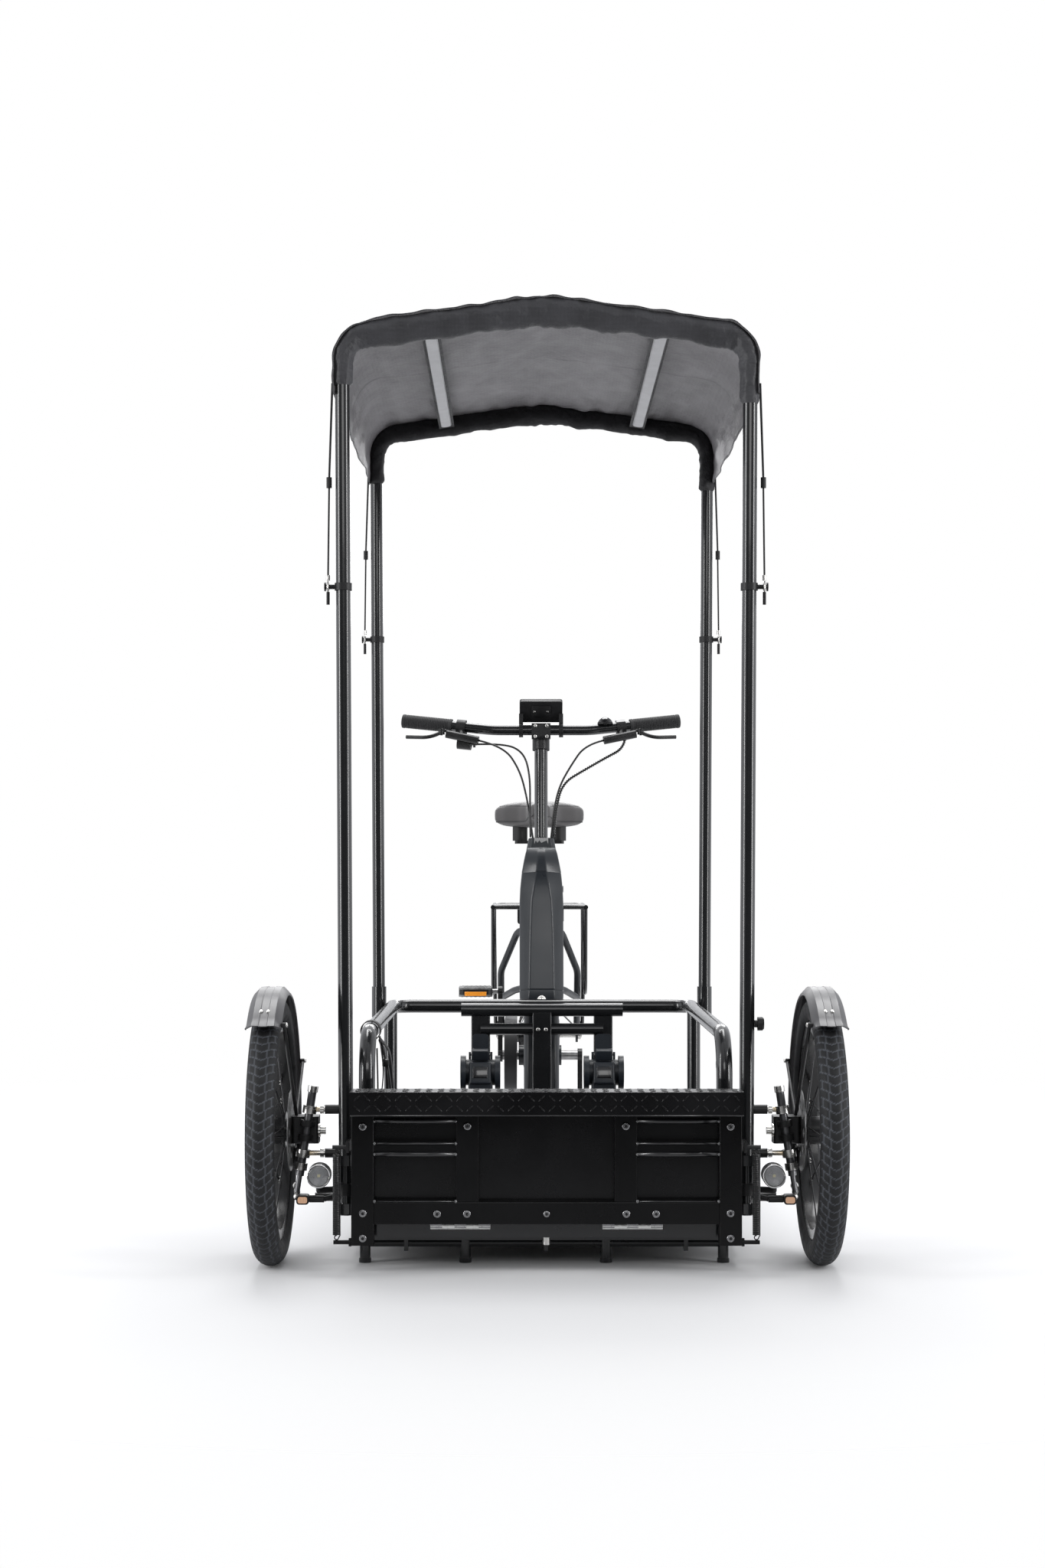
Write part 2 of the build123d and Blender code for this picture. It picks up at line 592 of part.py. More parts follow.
fixed_hinges, moving_hinges = [], []
for hinge_x in (-HINGE_X, HINGE_X):
    fixed, moving = hinge_pieces(hinge_x)
    fixed_hinges += fixed
    moving_hinges += moving
RAMP_BOLTS = [(346.0, 276.0), (149.0, 277.0), (346.0, 113.0), (346.0, 66.0), (206.0, 112.0),
              (150.0, 112.0)]
ramp_bolts = [button_head(side * x, z, PANEL_FRONT) for x, z in RAMP_BOLTS for side in SIDES]
ramp_bolts.append(button_head(0.0, 112.0, PANEL_FRONT, 6.5))
save("ramp_fasteners", *ramp_bolts, *moving_hinges)

# extension springs that balance the ramp, one each side
SPRING_LOW = SPRING_BOLT_Z + 4.0 + BODY_GAP
SPRING_HOOK = 9.0
spring = rod((SPRING_X, SPRING_Y, SPRING_LOW + SPRING_HOOK),
             (SPRING_X, SPRING_Y, SPRING_HIGH - SPRING_HOOK), SPRING_R)
spring += rod((SPRING_X, SPRING_Y, SPRING_LOW), (SPRING_X, SPRING_Y, SPRING_HIGH), 1.3)
save("ramp_springs", *pair(spring))


# -------------------------------------------------------------------- canopy
def hoop_points(y, spread=0.0):
    """Corner points of a hoop's centre line from one joint to the other."""
    eave = POLE_TOP_X + spread
    eave_z = APEX_Z - POLE_TOP_X * tan(radians(ROOF_SLOPE)) + spread
    lift = APEX_Z + spread
    return [(-eave, y, POLE_JOINT_Z), (-eave, y, eave_z), (0, y, lift), (eave, y, eave_z),
            (eave, y, POLE_JOINT_Z)]


HOOP_BENDS = [BOW_CORNER_R, BOW_APEX_R, BOW_CORNER_R]
poles, bows = [], []
for pole_y, foot_z in ((FRONT_POLE_Y, FRONT_POLE_FOOT_Z), (PLATFORM_REAR, RAIL_Z + 20.0)):
    pole = rod((pole_x(foot_z), pole_y, foot_z), (POLE_TOP_X, pole_y, POLE_JOINT_Z), POLE_R,
               POLE_R - 2)
    pole -= block((-500, 500), (pole_y - 20, pole_y + 20), (POLE_JOINT_Z, POLE_JOINT_Z + 5))
    poles += pair(pole)
    bows.append(bent(hoop_points(pole_y), HOOP_BENDS, POLE_R, POLE_R - 2))
save("canopy_poles", *poles)
save("canopy_bows", *bows)


def roof_outline(offset, low):
    """Canopy section outline at a distance outside the hoop's centre line."""
    eave = POLE_TOP_X + offset
    rise = offset / cos(radians(ROOF_SLOPE))
    eave_z = APEX_Z + rise - eave * tan(radians(ROOF_SLOPE))
    return [(-eave, 0, low), (-eave, 0, eave_z), (0, 0, APEX_Z + rise), (eave, 0, eave_z),
            (eave, 0, low)]


CLOTH_IN = POLE_R + BODY_GAP
CLOTH_END = POLE_R + 3.0


def cloth_line(offset):
    """Rounded canopy section at a distance outside the hoop's centre line."""
    corner = BOW_CORNER_R + offset
    return FilletPolyline(*roof_outline(offset, CLOTH_SIDE_Z),
                          radius=[corner, BOW_APEX_R + offset, corner])


cloth_outer, cloth_inner = cloth_line(CLOTH_IN + CLOTH_T), cloth_line(CLOTH_IN)
cloth_feet = [Line(cloth_outer @ end, cloth_inner @ end) for end in (0, 1)]
cloth_face = make_face([*cloth_outer.edges(), *cloth_inner.edges(), *cloth_feet])
cloth_length = PLATFORM_REAR - FRONT_POLE_Y + 2 * CLOTH_END
cloth = extrude(cloth_face, cloth_length, dir=(0, 1, 0))
save("canopy_cover", Pos(0, FRONT_POLE_Y - CLOTH_END, 0) * cloth)

batten_top = APEX_Z - BATTEN_X * tan(radians(ROOF_SLOPE)) - POLE_R / cos(radians(ROOF_SLOPE)) - 0.4
batten = block((BATTEN_X - BATTEN_W / 2, BATTEN_X + BATTEN_W / 2),
               (FRONT_POLE_Y - 20, PLATFORM_REAR + 20), (batten_top - BATTEN_T, batten_top), 8)
batten = Pos(BATTEN_X, 0, batten_top) * Rot(0, ROOF_SLOPE, 0) * Pos(-BATTEN_X, 0, -batten_top) * batten
save("canopy_battens", *pair(batten))


def elastic_cord(y):
    """Doubled cord from the canopy's corner to a knot, then a single one to a hook."""
    top = CLOTH_SIDE_Z + 20.0
    top_x = POLE_TOP_X + CLOTH_IN + CLOTH_T + CORD_R + BODY_GAP
    strands = []
    for side in SIDES:
        strand = rod((top_x, y + side * 5, top), (CORD_X - 2, y + side * 3, CORD_KNOT_Z), CORD_R)
        strands.append(strand)
    knot = rod((CORD_X - 2, y, CORD_KNOT_Z + 6), (CORD_X - 2, y, CORD_KNOT_Z - 14), 5.2)
    single = rod((CORD_X - 2, y, CORD_KNOT_Z - 14), (CORD_X, y, CORD_STUD_Z + 22), CORD_R)
    swivel = rod((CORD_X, y, CORD_STUD_Z + 22), (CORD_X, y, CORD_STUD_Z + 12), 4)
    hook = Pos(CORD_X, y, CORD_STUD_Z) * Rot(0, 90, 0) * Torus(9, 2.2)
    hook -= swivel
    tail = rod((CORD_X, y, CORD_STUD_Z - 10), (CORD_X, y, CORD_STUD_Z - 34), 3.2) - hook
    strands = [strand - knot for strand in strands]
    return [*strands, knot, single, swivel, hook, tail]


def cord_stud(y):
    """Pole clamp with an outward stud that a cord's hook goes over."""
    centre_x = pole_x(CORD_STUD_Z)
    band = rod((centre_x, y, CORD_STUD_Z - 7), (centre_x, y, CORD_STUD_Z + 7), POLE_R + 2.5)
    stud = rod((centre_x, y, CORD_STUD_Z), (CORD_X + 4, y, CORD_STUD_Z), 4.5)
    cap = rod((CORD_X + 4, y, CORD_STUD_Z), (CORD_X + 7, y, CORD_STUD_Z), 8.5)
    whole = fused(band, stud, cap)
    pole_hole = rod((POLE_FOOT_X, y, FRONT_POLE_FOOT_Z), (POLE_TOP_X, y, POLE_JOINT_Z), POLE_R)
    return whole - pole_hole


cords, studs = [], []
for cord_y in (FRONT_POLE_Y, PLATFORM_REAR):
    for piece in elastic_cord(cord_y):
        cords += pair(piece)
    studs += pair(cord_stud(cord_y))
save("canopy_cords", *cords)

# ---------------------------------------------------------------- guard rail
RAIL_BORE = RAIL_R - TUBE_WALL
side_points = [(RAIL_X, RAIL_FRONT_Y, FLOOR_TOP), (RAIL_X, RAIL_FRONT_Y, RAIL_Z),
               (RAIL_X, PLATFORM_REAR - 60.0, RAIL_Z)]
side_shape = bent(side_points, [RAIL_BEND_R], RAIL_R)
rail_side = bent(side_points, [RAIL_BEND_R], RAIL_R, RAIL_BORE)
CORNER_X = RAIL_X - 70.0
rear_points = [(RAIL_X, PLATFORM_REAR - 60.0, RAIL_Z), (RAIL_X, RAIL_REAR_Y, RAIL_Z),
               (CORNER_X, RAIL_REAR_Y, RAIL_Z)]
corner_shape = bent(rear_points, [RAIL_CORNER_R], RAIL_R)
rail_corner = bent(rear_points, [RAIL_CORNER_R], RAIL_R, RAIL_BORE)
rail_rear = rod((-CORNER_X, RAIL_REAR_Y, RAIL_Z), (CORNER_X, RAIL_REAR_Y, RAIL_Z), RAIL_R, RAIL_BORE)
rear_leg = rod((RAIL_X, REAR_LEG_Y, FLOOR_TOP), (RAIL_X, REAR_LEG_Y, RAIL_Z), RAIL_R - 1)
rear_leg -= side_shape
socket_z = (RAIL_Z - 26.0, RAIL_Z + 46.0)
socket_x = pole_x(RAIL_Z)
socket = rod((socket_x, PLATFORM_REAR, socket_z[0]), (socket_x, PLATFORM_REAR, socket_z[1]),
             SOCKET_R)
socket -= rod((pole_x(RAIL_Z + 20), PLATFORM_REAR, RAIL_Z + 20),
              (POLE_TOP_X, PLATFORM_REAR, POLE_JOINT_Z), POLE_R)
socket -= corner_shape
socket -= side_shape
GUSSET_Y = (-955.0, -880.0)
gusset = block((RAIL_X - 4, RAIL_X + 4), GUSSET_Y, (FLOOR_TOP, RAIL_Z - RAIL_R), 4, Axis.X)
gusset -= side_shape
pole_clamps = []
for clamp_z in (113.0, 205.0):
    centre_x = pole_x(clamp_z)
    band = block((PLATE_OUT, centre_x + 14), (FRONT_POLE_Y - 18, FRONT_POLE_Y + 34),
                 (clamp_z - 10, clamp_z + 10), 4)
    band -= rod((POLE_FOOT_X, FRONT_POLE_Y, FRONT_POLE_FOOT_Z),
                (POLE_TOP_X, FRONT_POLE_Y, POLE_JOINT_Z), POLE_R)
    pole_clamps.append(band - arms[1] - arms[4])
clamp_pieces = [piece for band in pole_clamps for piece in band.solids()]
rail_half = [rail_side, rail_corner, rear_leg, socket, gusset, *clamp_pieces]
save("guard_rail", rail_rear, *[piece for item in rail_half for piece in pair(item)])

# clamp knob on the left-hand front pole
KNOB_Z = 465.0
knob_x = pole_x(KNOB_Z) + POLE_R
knob = rod((knob_x + BODY_GAP, FRONT_POLE_Y, KNOB_Z), (knob_x + 6, FRONT_POLE_Y, KNOB_Z), 7)
knob_head = rod((knob_x + 6, FRONT_POLE_Y, KNOB_Z), (knob_x + 18, FRONT_POLE_Y, KNOB_Z), 13)
knob_head = chamfer(knob_head.edges().sort_by(Axis.X)[-1], 3)
save("pole_knob", fused(knob, knob_head))

# -------------------------------------------------------------- docking unit
dock_top = rod((-DOCK_BAR_HALF, DOCK_Y, DOCK_BAR_Z), (DOCK_BAR_HALF, DOCK_Y, DOCK_BAR_Z), DOCK_BAR_R)
dock_low = rod((-DOCK_PLATE_X, DOCK_Y, DOCK_LOW_Z), (DOCK_PLATE_X, DOCK_Y, DOCK_LOW_Z), DOCK_LOW_R)
dock_post = block((-22, 22), (DOCK_Y - 20, DOCK_Y + 14), (FLOOR_TOP, DOCK_BAR_Z - 6), 3)
dock = fused(dock_top, dock_low, dock_post)
for side in SIDES:
    middle = side * DOCK_PLATE_X
    plate = block((middle - DOCK_PLATE_W / 2, middle + DOCK_PLATE_W / 2), (DOCK_Y - 6, DOCK_Y + 6),
                  (FLOOR_TOP, DOCK_BAR_Z - 4), 3)
    dock = dock + plate
save("docking_frame", dock)

LEVER_PIN_R = 3.0
LEVER_PIN = (DOCK_Y - 18.0, DRUM_Z + DRUM_R + 10.0)
DRUM_Y = DOCK_Y - 40.0
retractors = []
for side in SIDES:
    middle = side * DOCK_PLATE_X
    drum = rod((middle - 34, DRUM_Y, DRUM_Z), (middle + 34, DRUM_Y, DRUM_Z), DRUM_R)
    base = block((middle - 28, middle + 28), (DRUM_Y - 30, DRUM_Y + 34), (FLOOR_TOP, DRUM_Z), 5)
    body = fused(drum, base)
    for edge in SIDES:
        ear_x = middle + edge * 25
        ear = block((ear_x - 2.5, ear_x + 2.5), (LEVER_PIN[0] - 6, LEVER_PIN[0] + 6),
                    (DRUM_Z - 10, LEVER_PIN[1] + 6), 5, Axis.X)
        body = body + ear
    body -= rod((middle - 30, *LEVER_PIN), (middle + 30, *LEVER_PIN), LEVER_PIN_R)
    pin = rod((middle - 27.5, *LEVER_PIN), (middle + 27.5, *LEVER_PIN), LEVER_PIN_R)
    retractors += [body, pin]
    for edge in SIDES:
        start = middle + edge * 34
        disc = rod((start, DRUM_Y, DRUM_Z), (start + edge * 12, DRUM_Y, DRUM_Z), DRUM_R + 9)
        retractors.append(disc)
    barrel = rod((middle - 21, *LEVER_PIN), (middle + 21, *LEVER_PIN), 6)
    tongue = block((middle - 19, middle + 19), (LEVER_PIN[0] - 5, LEVER_PIN[0] + 1),
                   (LEVER_PIN[1], LEVER_PIN[1] + 48), 9, Axis.Y)
    lever = fused(barrel, tongue) - rod((middle - 21, *LEVER_PIN), (middle + 21, *LEVER_PIN),
                                        LEVER_PIN_R + RUN_FIT)
    save("release_lever_left" if side > 0 else "release_lever_right", lever)
save("belt_retractors", *retractors)

# webbing that hangs in a bundle from the right-hand rail
BELT_Y = -850.0
belt_loop = rod((-RAIL_X, BELT_Y - 24, RAIL_Z), (-RAIL_X, BELT_Y + 24, RAIL_Z), RAIL_R + 3,
                RAIL_R + 0.2)
belt_hang = block((-RAIL_X + 10, -RAIL_X + 52), (BELT_Y - 24, BELT_Y + 24), (190, RAIL_Z - 20), 8)
belt_link = block((-RAIL_X + 8, -RAIL_X + 20), (BELT_Y - 24, BELT_Y + 24), (RAIL_Z - 24, RAIL_Z - 8))
belt_link -= rod((-RAIL_X, BELT_Y - 24, RAIL_Z), (-RAIL_X, BELT_Y + 24, RAIL_Z), RAIL_R + 2)
save("restraint_belts", fused(belt_loop, belt_link, belt_hang))

# --------------------------------------------------------------------- lamps
LAMP_X = 432.0
LAMP_Z = 179.0
LAMP_Y = FRONT_AXLE_Y - 78.0
LAMP_R = 22.5
LENS_R = LAMP_R - 2.5
LENS_SEAT = 7.0
lamp_can = rod((LAMP_X, LAMP_Y, LAMP_Z), (LAMP_X, LAMP_Y + 36, LAMP_Z), LAMP_R)
clamp_x = pole_x(150.0)
lamp_band = rod((clamp_x, FRONT_POLE_Y, 138), (clamp_x, FRONT_POLE_Y, 161), POLE_R + 3)
lamp_arm = rod((clamp_x, FRONT_POLE_Y, 150), (LAMP_X, LAMP_Y + 18, 150), 6)
lamp_neck = rod((LAMP_X, LAMP_Y + 18, 150), (LAMP_X, LAMP_Y + 18, LAMP_Z - LAMP_R + 2), 6)
lamp_ball = Pos(LAMP_X, LAMP_Y + 18, 150) * Sphere(6)
INDICATOR_Z = 131.0
indicator_stem = rod((clamp_x + 8, FRONT_POLE_Y, INDICATOR_Z + 8),
                     (LAMP_X - 8, FRONT_POLE_Y - 8, INDICATOR_Z), 5)
indicator_grip = rod((LAMP_X - 8, FRONT_POLE_Y - 8, INDICATOR_Z),
                     (LAMP_X + 20, FRONT_POLE_Y - 8, INDICATOR_Z), 6.5)
indicator_head = block((LAMP_X + 20, LAMP_X + 44), (FRONT_POLE_Y - 22, FRONT_POLE_Y + 6),
                       (INDICATOR_Z - 9, INDICATOR_Z + 9), 6, Axis.Y)
amber = block((LAMP_X + 23, LAMP_X + 41), (FRONT_POLE_Y - 25, FRONT_POLE_Y - 16),
              (INDICATOR_Z - 6, INDICATOR_Z + 6), 4, Axis.Y)
lamp_bracket = fused(lamp_band, lamp_arm, lamp_ball, lamp_neck, lamp_can, indicator_stem,
                     indicator_grip, indicator_head)
lamp_bracket -= rod((POLE_FOOT_X, FRONT_POLE_Y, FRONT_POLE_FOOT_Z),
                    (POLE_TOP_X, FRONT_POLE_Y, POLE_JOINT_Z), POLE_R)
lamp_bracket -= rod((LAMP_X, LAMP_Y, LAMP_Z), (LAMP_X, LAMP_Y + LENS_SEAT, LAMP_Z), LENS_R)
lamp_bracket -= amber
REAR_LAMP_Y = RACK_REAR_Y + RACK_R + 4.0
rear_lamp = block((-26, 26), (REAR_LAMP_Y, REAR_LAMP_Y + 12), (RACK_Z - 48, RACK_Z - 20), 5, Axis.Y)
save("lamp_housings", *pair(lamp_bracket), rear_lamp)
lens = rod((LAMP_X, LAMP_Y + 1, LAMP_Z), (LAMP_X, LAMP_Y + LENS_SEAT, LAMP_Z), LENS_R)
save("headlight_lenses", *pair(lens))
red_lens = block((-24, 24), (REAR_LAMP_Y + 12, REAR_LAMP_Y + 22), (RACK_Z - 46, RACK_Z - 22), 5,
                 Axis.Y)
save("signal_lenses", *pair(amber), red_lens)

# ------------------------------------------------------------ column, battery
HEAD_Z = COLUMN_HEAD[1]


def rounded_level(z, forward, width, depth, corner):
    """Rounded rectangle square to the steering axis."""
    return column_plane(z, forward) * RectangleRounded(width, depth, corner)


COLUMN_BORE = 20.0
column = loft([rounded_level(COLUMN_FOOT[1], 0, COLUMN_W, COLUMN_D, 16),
               rounded_level(390, 0, COLUMN_W, COLUMN_D, 16),
               rounded_level(780, 0, COLUMN_W - 4, COLUMN_D - 6, 16),
               rounded_level(HEAD_Z, 0, 62, 54, 14)], ruled=True)
foot_point, head_point = column_point(COLUMN_FOOT[1] - 40), column_point(HEAD_Z + 40)
column -= rod(foot_point, head_point, COLUMN_BORE)
inside = loft([rounded_level(COLUMN_FOOT[1] + 45, 0, COLUMN_W - 8, COLUMN_D - 8, 12),
               rounded_level(390, 0, COLUMN_W - 8, COLUMN_D - 8, 12),
               rounded_level(HEAD_Z - 60, 0, COLUMN_W - 12, COLUMN_D - 14, 12)], ruled=True)
column -= inside
bearings = []
for bearing_z in (COLUMN_FOOT[1] + 16, HEAD_Z - 14):
    low, high = column_point(bearing_z - 7), column_point(bearing_z + 7)
    bearings.append(rod(low, high, COLUMN_BORE, SHAFT_R + RUN_FIT))
save("steering_column", column, *bearings)

battery_forward = COLUMN_D / 2 + BATTERY_D / 2 + BODY_GAP
battery = loft([rounded_level(BATTERY_LOW_Z, battery_forward - 6, BATTERY_W - 30, BATTERY_D - 22, 9),
                rounded_level(BATTERY_LOW_Z + 22, battery_forward, BATTERY_W, BATTERY_D, 17),
                rounded_level(680, battery_forward, BATTERY_W, BATTERY_D, 17),
                rounded_level(760, battery_forward - 3, BATTERY_W - 18, BATTERY_D - 8, 15),
                rounded_level(BATTERY_TOP_Z, battery_forward - 14, BATTERY_W - 32,
                              BATTERY_D - 30, 12)], ruled=True)
save("battery", battery)

# -------------------------------------------------- steering shaft, stem, bar
shaft_low = column_point(66)
shaft = rod(shaft_low, column_point(HEAD_Z + 4), SHAFT_R)
riser = rod(column_point(HEAD_Z + 4), column_point(RISER_TOP_Z), RISER_R)
pulley = rod(column_point(66), column_point(80), DRUM_PULLEY_R)
save("steering_shaft", fused(shaft, riser, pulley))

stem_axis_top = column_point(RISER_TOP_Z + 40)
stem_sleeve = rod(column_point(RISER_TOP_Z - 14), stem_axis_top, RISER_R + 5)
stem_sleeve -= rod(column_point(RISER_TOP_Z - 60), column_point(RISER_TOP_Z), RISER_R)
stem_box = block((-23, 23), (BAR_Y - BAR_R - 9, stem_axis_top[1]), (BAR_Z - 22, BAR_Z + 16), 6,
                 Axis.X)
bar_hole = rod((-60, BAR_Y, BAR_Z), (60, BAR_Y, BAR_Z), BAR_R)
stem = fused(stem_sleeve, stem_box) - bar_hole
stem -= rod(column_point(RISER_TOP_Z - 60), column_point(RISER_TOP_Z), RISER_R)
face_y = BAR_Y - BAR_R - 9
stem_bolts = [button_head(x, BAR_Z + z, face_y, 4.5) for x in (-14, 14) for z in (-16, 10)]
save("stem", stem, *stem_bolts)

bar_end = (BAR_HALF, BAR_Y + BAR_SWEEP, BAR_Z + BAR_RISE)
bar_knee = (BAR_STRAIGHT, BAR_Y, BAR_Z)
bar = bent([(-bar_end[0], *bar_end[1:]), (-bar_knee[0], *bar_knee[1:]), bar_knee, bar_end],
           [170.0, 170.0], BAR_R)
save("handlebar_bar", bar)
end_run = (Vector(*bar_end) - Vector(*bar_knee)).normalized()


def on_bar(distance, below=0.0, ahead=0.0):
    """Point a distance in from the bar's left-hand end."""
    spot = Vector(*bar_end) - end_run * distance
    return (spot.X, spot.Y - ahead, spot.Z - below)


grip = rod(on_bar(GRIP_LEN), on_bar(-4), GRIP_R)
grip -= bar
save("grips", *pair(grip))

# lever perches, control pods and bell on the bar
perch_in, perch_out = on_bar(GRIP_LEN + 34), on_bar(GRIP_LEN + 12)
perch = rod(perch_in, perch_out, BAR_R + 5)
perch_arm = rod(on_bar(GRIP_LEN + 23), on_bar(GRIP_LEN + 23, 24, 22), 8)
reservoir = rod(on_bar(GRIP_LEN + 66, 30, 26), on_bar(GRIP_LEN - 14, 22, 26), 10)
perch = fused(perch, perch_arm, reservoir) - bar
LEVER_PIVOT = on_bar(GRIP_LEN - 26, 20, 28)
pivot_ear = rod((LEVER_PIVOT[0], LEVER_PIVOT[1], LEVER_PIVOT[2] + 9),
                (LEVER_PIVOT[0], LEVER_PIVOT[1], LEVER_PIVOT[2] + 5), 8)
pivot_pin = rod((LEVER_PIVOT[0], LEVER_PIVOT[1], LEVER_PIVOT[2] + 9),
                (LEVER_PIVOT[0], LEVER_PIVOT[1], LEVER_PIVOT[2] - 7), 3)
pivot_tie = rod((LEVER_PIVOT[0], LEVER_PIVOT[1], LEVER_PIVOT[2] + 7), on_bar(GRIP_LEN - 14, 15, 26), 4)
perch = fused(perch, pivot_ear, pivot_tie)
lever_hub = rod((LEVER_PIVOT[0], LEVER_PIVOT[1], LEVER_PIVOT[2] + 4.6),
                (LEVER_PIVOT[0], LEVER_PIVOT[1], LEVER_PIVOT[2] - 5), 8, 3 + RUN_FIT)
blade_tip = on_bar(8, 40, 34)
blade = bent([(LEVER_PIVOT[0], LEVER_PIVOT[1] - 2, LEVER_PIVOT[2]),
              on_bar(GRIP_LEN - 56, 36, 44), blade_tip], [50.0], 4.5)
blade -= rod((LEVER_PIVOT[0], LEVER_PIVOT[1], LEVER_PIVOT[2] + 12),
             (LEVER_PIVOT[0], LEVER_PIVOT[1], LEVER_PIVOT[2] - 12), 3 + RUN_FIT)
lever = fused(lever_hub, blade)
perch -= rod((LEVER_PIVOT[0], LEVER_PIVOT[1], LEVER_PIVOT[2] + 4.9),
             (LEVER_PIVOT[0], LEVER_PIVOT[1], LEVER_PIVOT[2] - 9), 9)
perch = fused(perch, pivot_pin)
save("brake_lever_left", lever)
save("brake_lever_right", mirrored(lever))
bell_centre = on_bar(GRIP_LEN + 62, -10, 4)
bell = Pos(*bell_centre) * Sphere(19)
bell = bell - block((-400, 400), (-100, 600), (BAR_Z - 200, bell_centre[2]))
bell_base = rod((bell_centre[0], bell_centre[1], bell_centre[2]),
                (bell_centre[0], bell_centre[1], bell_centre[2] - 18), 6)
bell = fused(bell, bell_base) - bar
pod = rod(on_bar(GRIP_LEN + 48, 40, 6), on_bar(GRIP_LEN + 14, 40, 6), 15)
pod_neck = rod(on_bar(GRIP_LEN + 31, 34, 6), on_bar(GRIP_LEN + 31, 6, 0), 6)
pod = mirrored(fused(pod, pod_neck)) - mirrored(perch) - bar
SHIFT_PIVOT = on_bar(GRIP_LEN + 50, 40, 6)
shift_pin = rod((-SHIFT_PIVOT[0] - 8, *SHIFT_PIVOT[1:]), (-SHIFT_PIVOT[0] + 12, *SHIFT_PIVOT[1:]), 3)
pod = pod + shift_pin
shift_hub = rod((-SHIFT_PIVOT[0] + 2.6, *SHIFT_PIVOT[1:]), (-SHIFT_PIVOT[0] + 8, *SHIFT_PIVOT[1:]),
                8, 3 + RUN_FIT)
shift_blade = block((-SHIFT_PIVOT[0] + 2.6, -SHIFT_PIVOT[0] + 8),
                    (SHIFT_PIVOT[1] + 4, SHIFT_PIVOT[1] + 34),
                    (SHIFT_PIVOT[2] - 5, SHIFT_PIVOT[2] + 5), 3, Axis.X)
shift_blade -= rod((-SHIFT_PIVOT[0], *SHIFT_PIVOT[1:]), (-SHIFT_PIVOT[0] + 12, *SHIFT_PIVOT[1:]),
                   3 + RUN_FIT)
save("shift_lever", fused(shift_hub, shift_blade))
save("bar_controls", *pair(perch), bell - perch, pod)

# display on two clamps that turn on the bar
clamp_rings = []
for side in SIDES:
    ring = rod((side * 44, BAR_Y, BAR_Z), (side * 54, BAR_Y, BAR_Z), BAR_R + 5, BAR_R + RUN_FIT)
    leg = block((side * 44, side * 54), (BAR_Y - 8, BAR_Y + 2), (BAR_Z + BAR_R + 1, BAR_Z + 40))
    clamp_rings.append(ring + leg)
panel = Pos(0, BAR_Y + 4, BAR_Z + 48) * Rot(-58, 0, 0) * Box(DISPLAY_W, 58, 13)
panel = fillet(panel.edges().filter_by(lambda edge: abs(edge.length - 13) < 0.01), 6)
display = fused(panel, *clamp_rings)
save("display_unit", display)


# ------------------------------------------------------------- held cables
def arc_radii(points):
    """Largest arc that each corner's two runs allow, as 0.45 of the shorter run."""
    radii = []
    for before, here, after in zip(points, points[1:], points[2:]):
        first = Vector(*here) - Vector(*before)
        second = Vector(*after) - Vector(*here)
        turn = radians(first.get_angle(second))
        radii.append(0.45 * min(first.length, second.length) / tan(turn / 2))
    return radii


reservoir_end = on_bar(GRIP_LEN + 66, 30, 26)
head_entry = column_point(HEAD_Z + 2, 20)
CABLE_R = 2.4
CABLE_ROUTES = [
    [(-reservoir_end[0], *reservoir_end[1:]), (-92, 196, 1058), (-52, 184, 1000), (-34, 172, 930),
     (-24, head_entry[1], HEAD_Z + 30), (-20, head_entry[1], HEAD_Z + 3)],
    [(-reservoir_end[0] - 22, reservoir_end[1] + 8, reservoir_end[2] - 10), (-96, 206, 1066),
     (-44, 196, 1046), (-27, 182, 990), (-27, 170, 900), (-26, head_entry[1] - 6, HEAD_Z + 6)],
    [reservoir_end, (108, 200, 1062), (72, 188, 1010), (44, 178, 960), (30, 168, 900),
     (24, head_entry[1], HEAD_Z + 3)],
    [(reservoir_end[0] + 30, reservoir_end[1] + 14, reservoir_end[2] - 12), (160, 202, 1036),
     (110, 190, 1000), (52, 180, 968), (36, 172, 905), (30, head_entry[1] - 6, HEAD_Z + 6)],
]
cables = [bent(route, arc_radii(route), CABLE_R) for route in CABLE_ROUTES]
for body in (column, perch, mirrored(perch), pod, bar):
    cables = [piece - body for piece in cables]
for route in CABLE_ROUTES:
    print("cable arc radii:", [round(radius) for radius in arc_radii(route)])
save("control_cables", *cables)

# steering cable housings, from the guides along the platform to the column
HOUSING_R = 4.5
HOUSING_Z = 70.0
HOUSING_BEND_R = 60.0
housing_route = [(PLATFORM_HALF + 12, GUIDE_Y + 26, HOUSING_Z),
                 (PLATFORM_HALF + 12, PLATFORM_REAR + 34, HOUSING_Z), (64, PLATFORM_REAR + 34, HOUSING_Z)]
housing = bent(housing_route, [HOUSING_BEND_R], HOUSING_R)
save("steering_cables", *pair(housing))

# ------------------------------------------------------- bicycle frame, seat
CHEEK_T = 6.0
cheek_points = [(10, 52), (10, 150), (60, 190), (200, 215), (200, 150), (110, 104), (28, 90),
                (28, 52)]
cheek_face = Plane.YZ * make_face(Polyline(*cheek_points, close=True))
cheek = Pos(COLUMN_W / 2, 0, 0) * extrude(cheek_face, CHEEK_T)
bb_shell = rod((-55, BB_Y, BB_Z), (55, BB_Y, BB_Z), 26, SHAFT_R + RUN_FIT)
spine = rod((0, 96, 168), (0, BB_Y, BB_Z), 28)
spine_cut = loft([rounded_level(COLUMN_FOOT[1] - 60, 0, COLUMN_W, COLUMN_D, 16),
                  rounded_level(390, 0, COLUMN_W, COLUMN_D, 16)], ruled=True)
spine = spine - spine_cut - rod((-80, BB_Y, BB_Z), (80, BB_Y, BB_Z), 26)
spine -= rod((0, 96, 168), (0, 500, 261), 28 - TUBE_WALL)
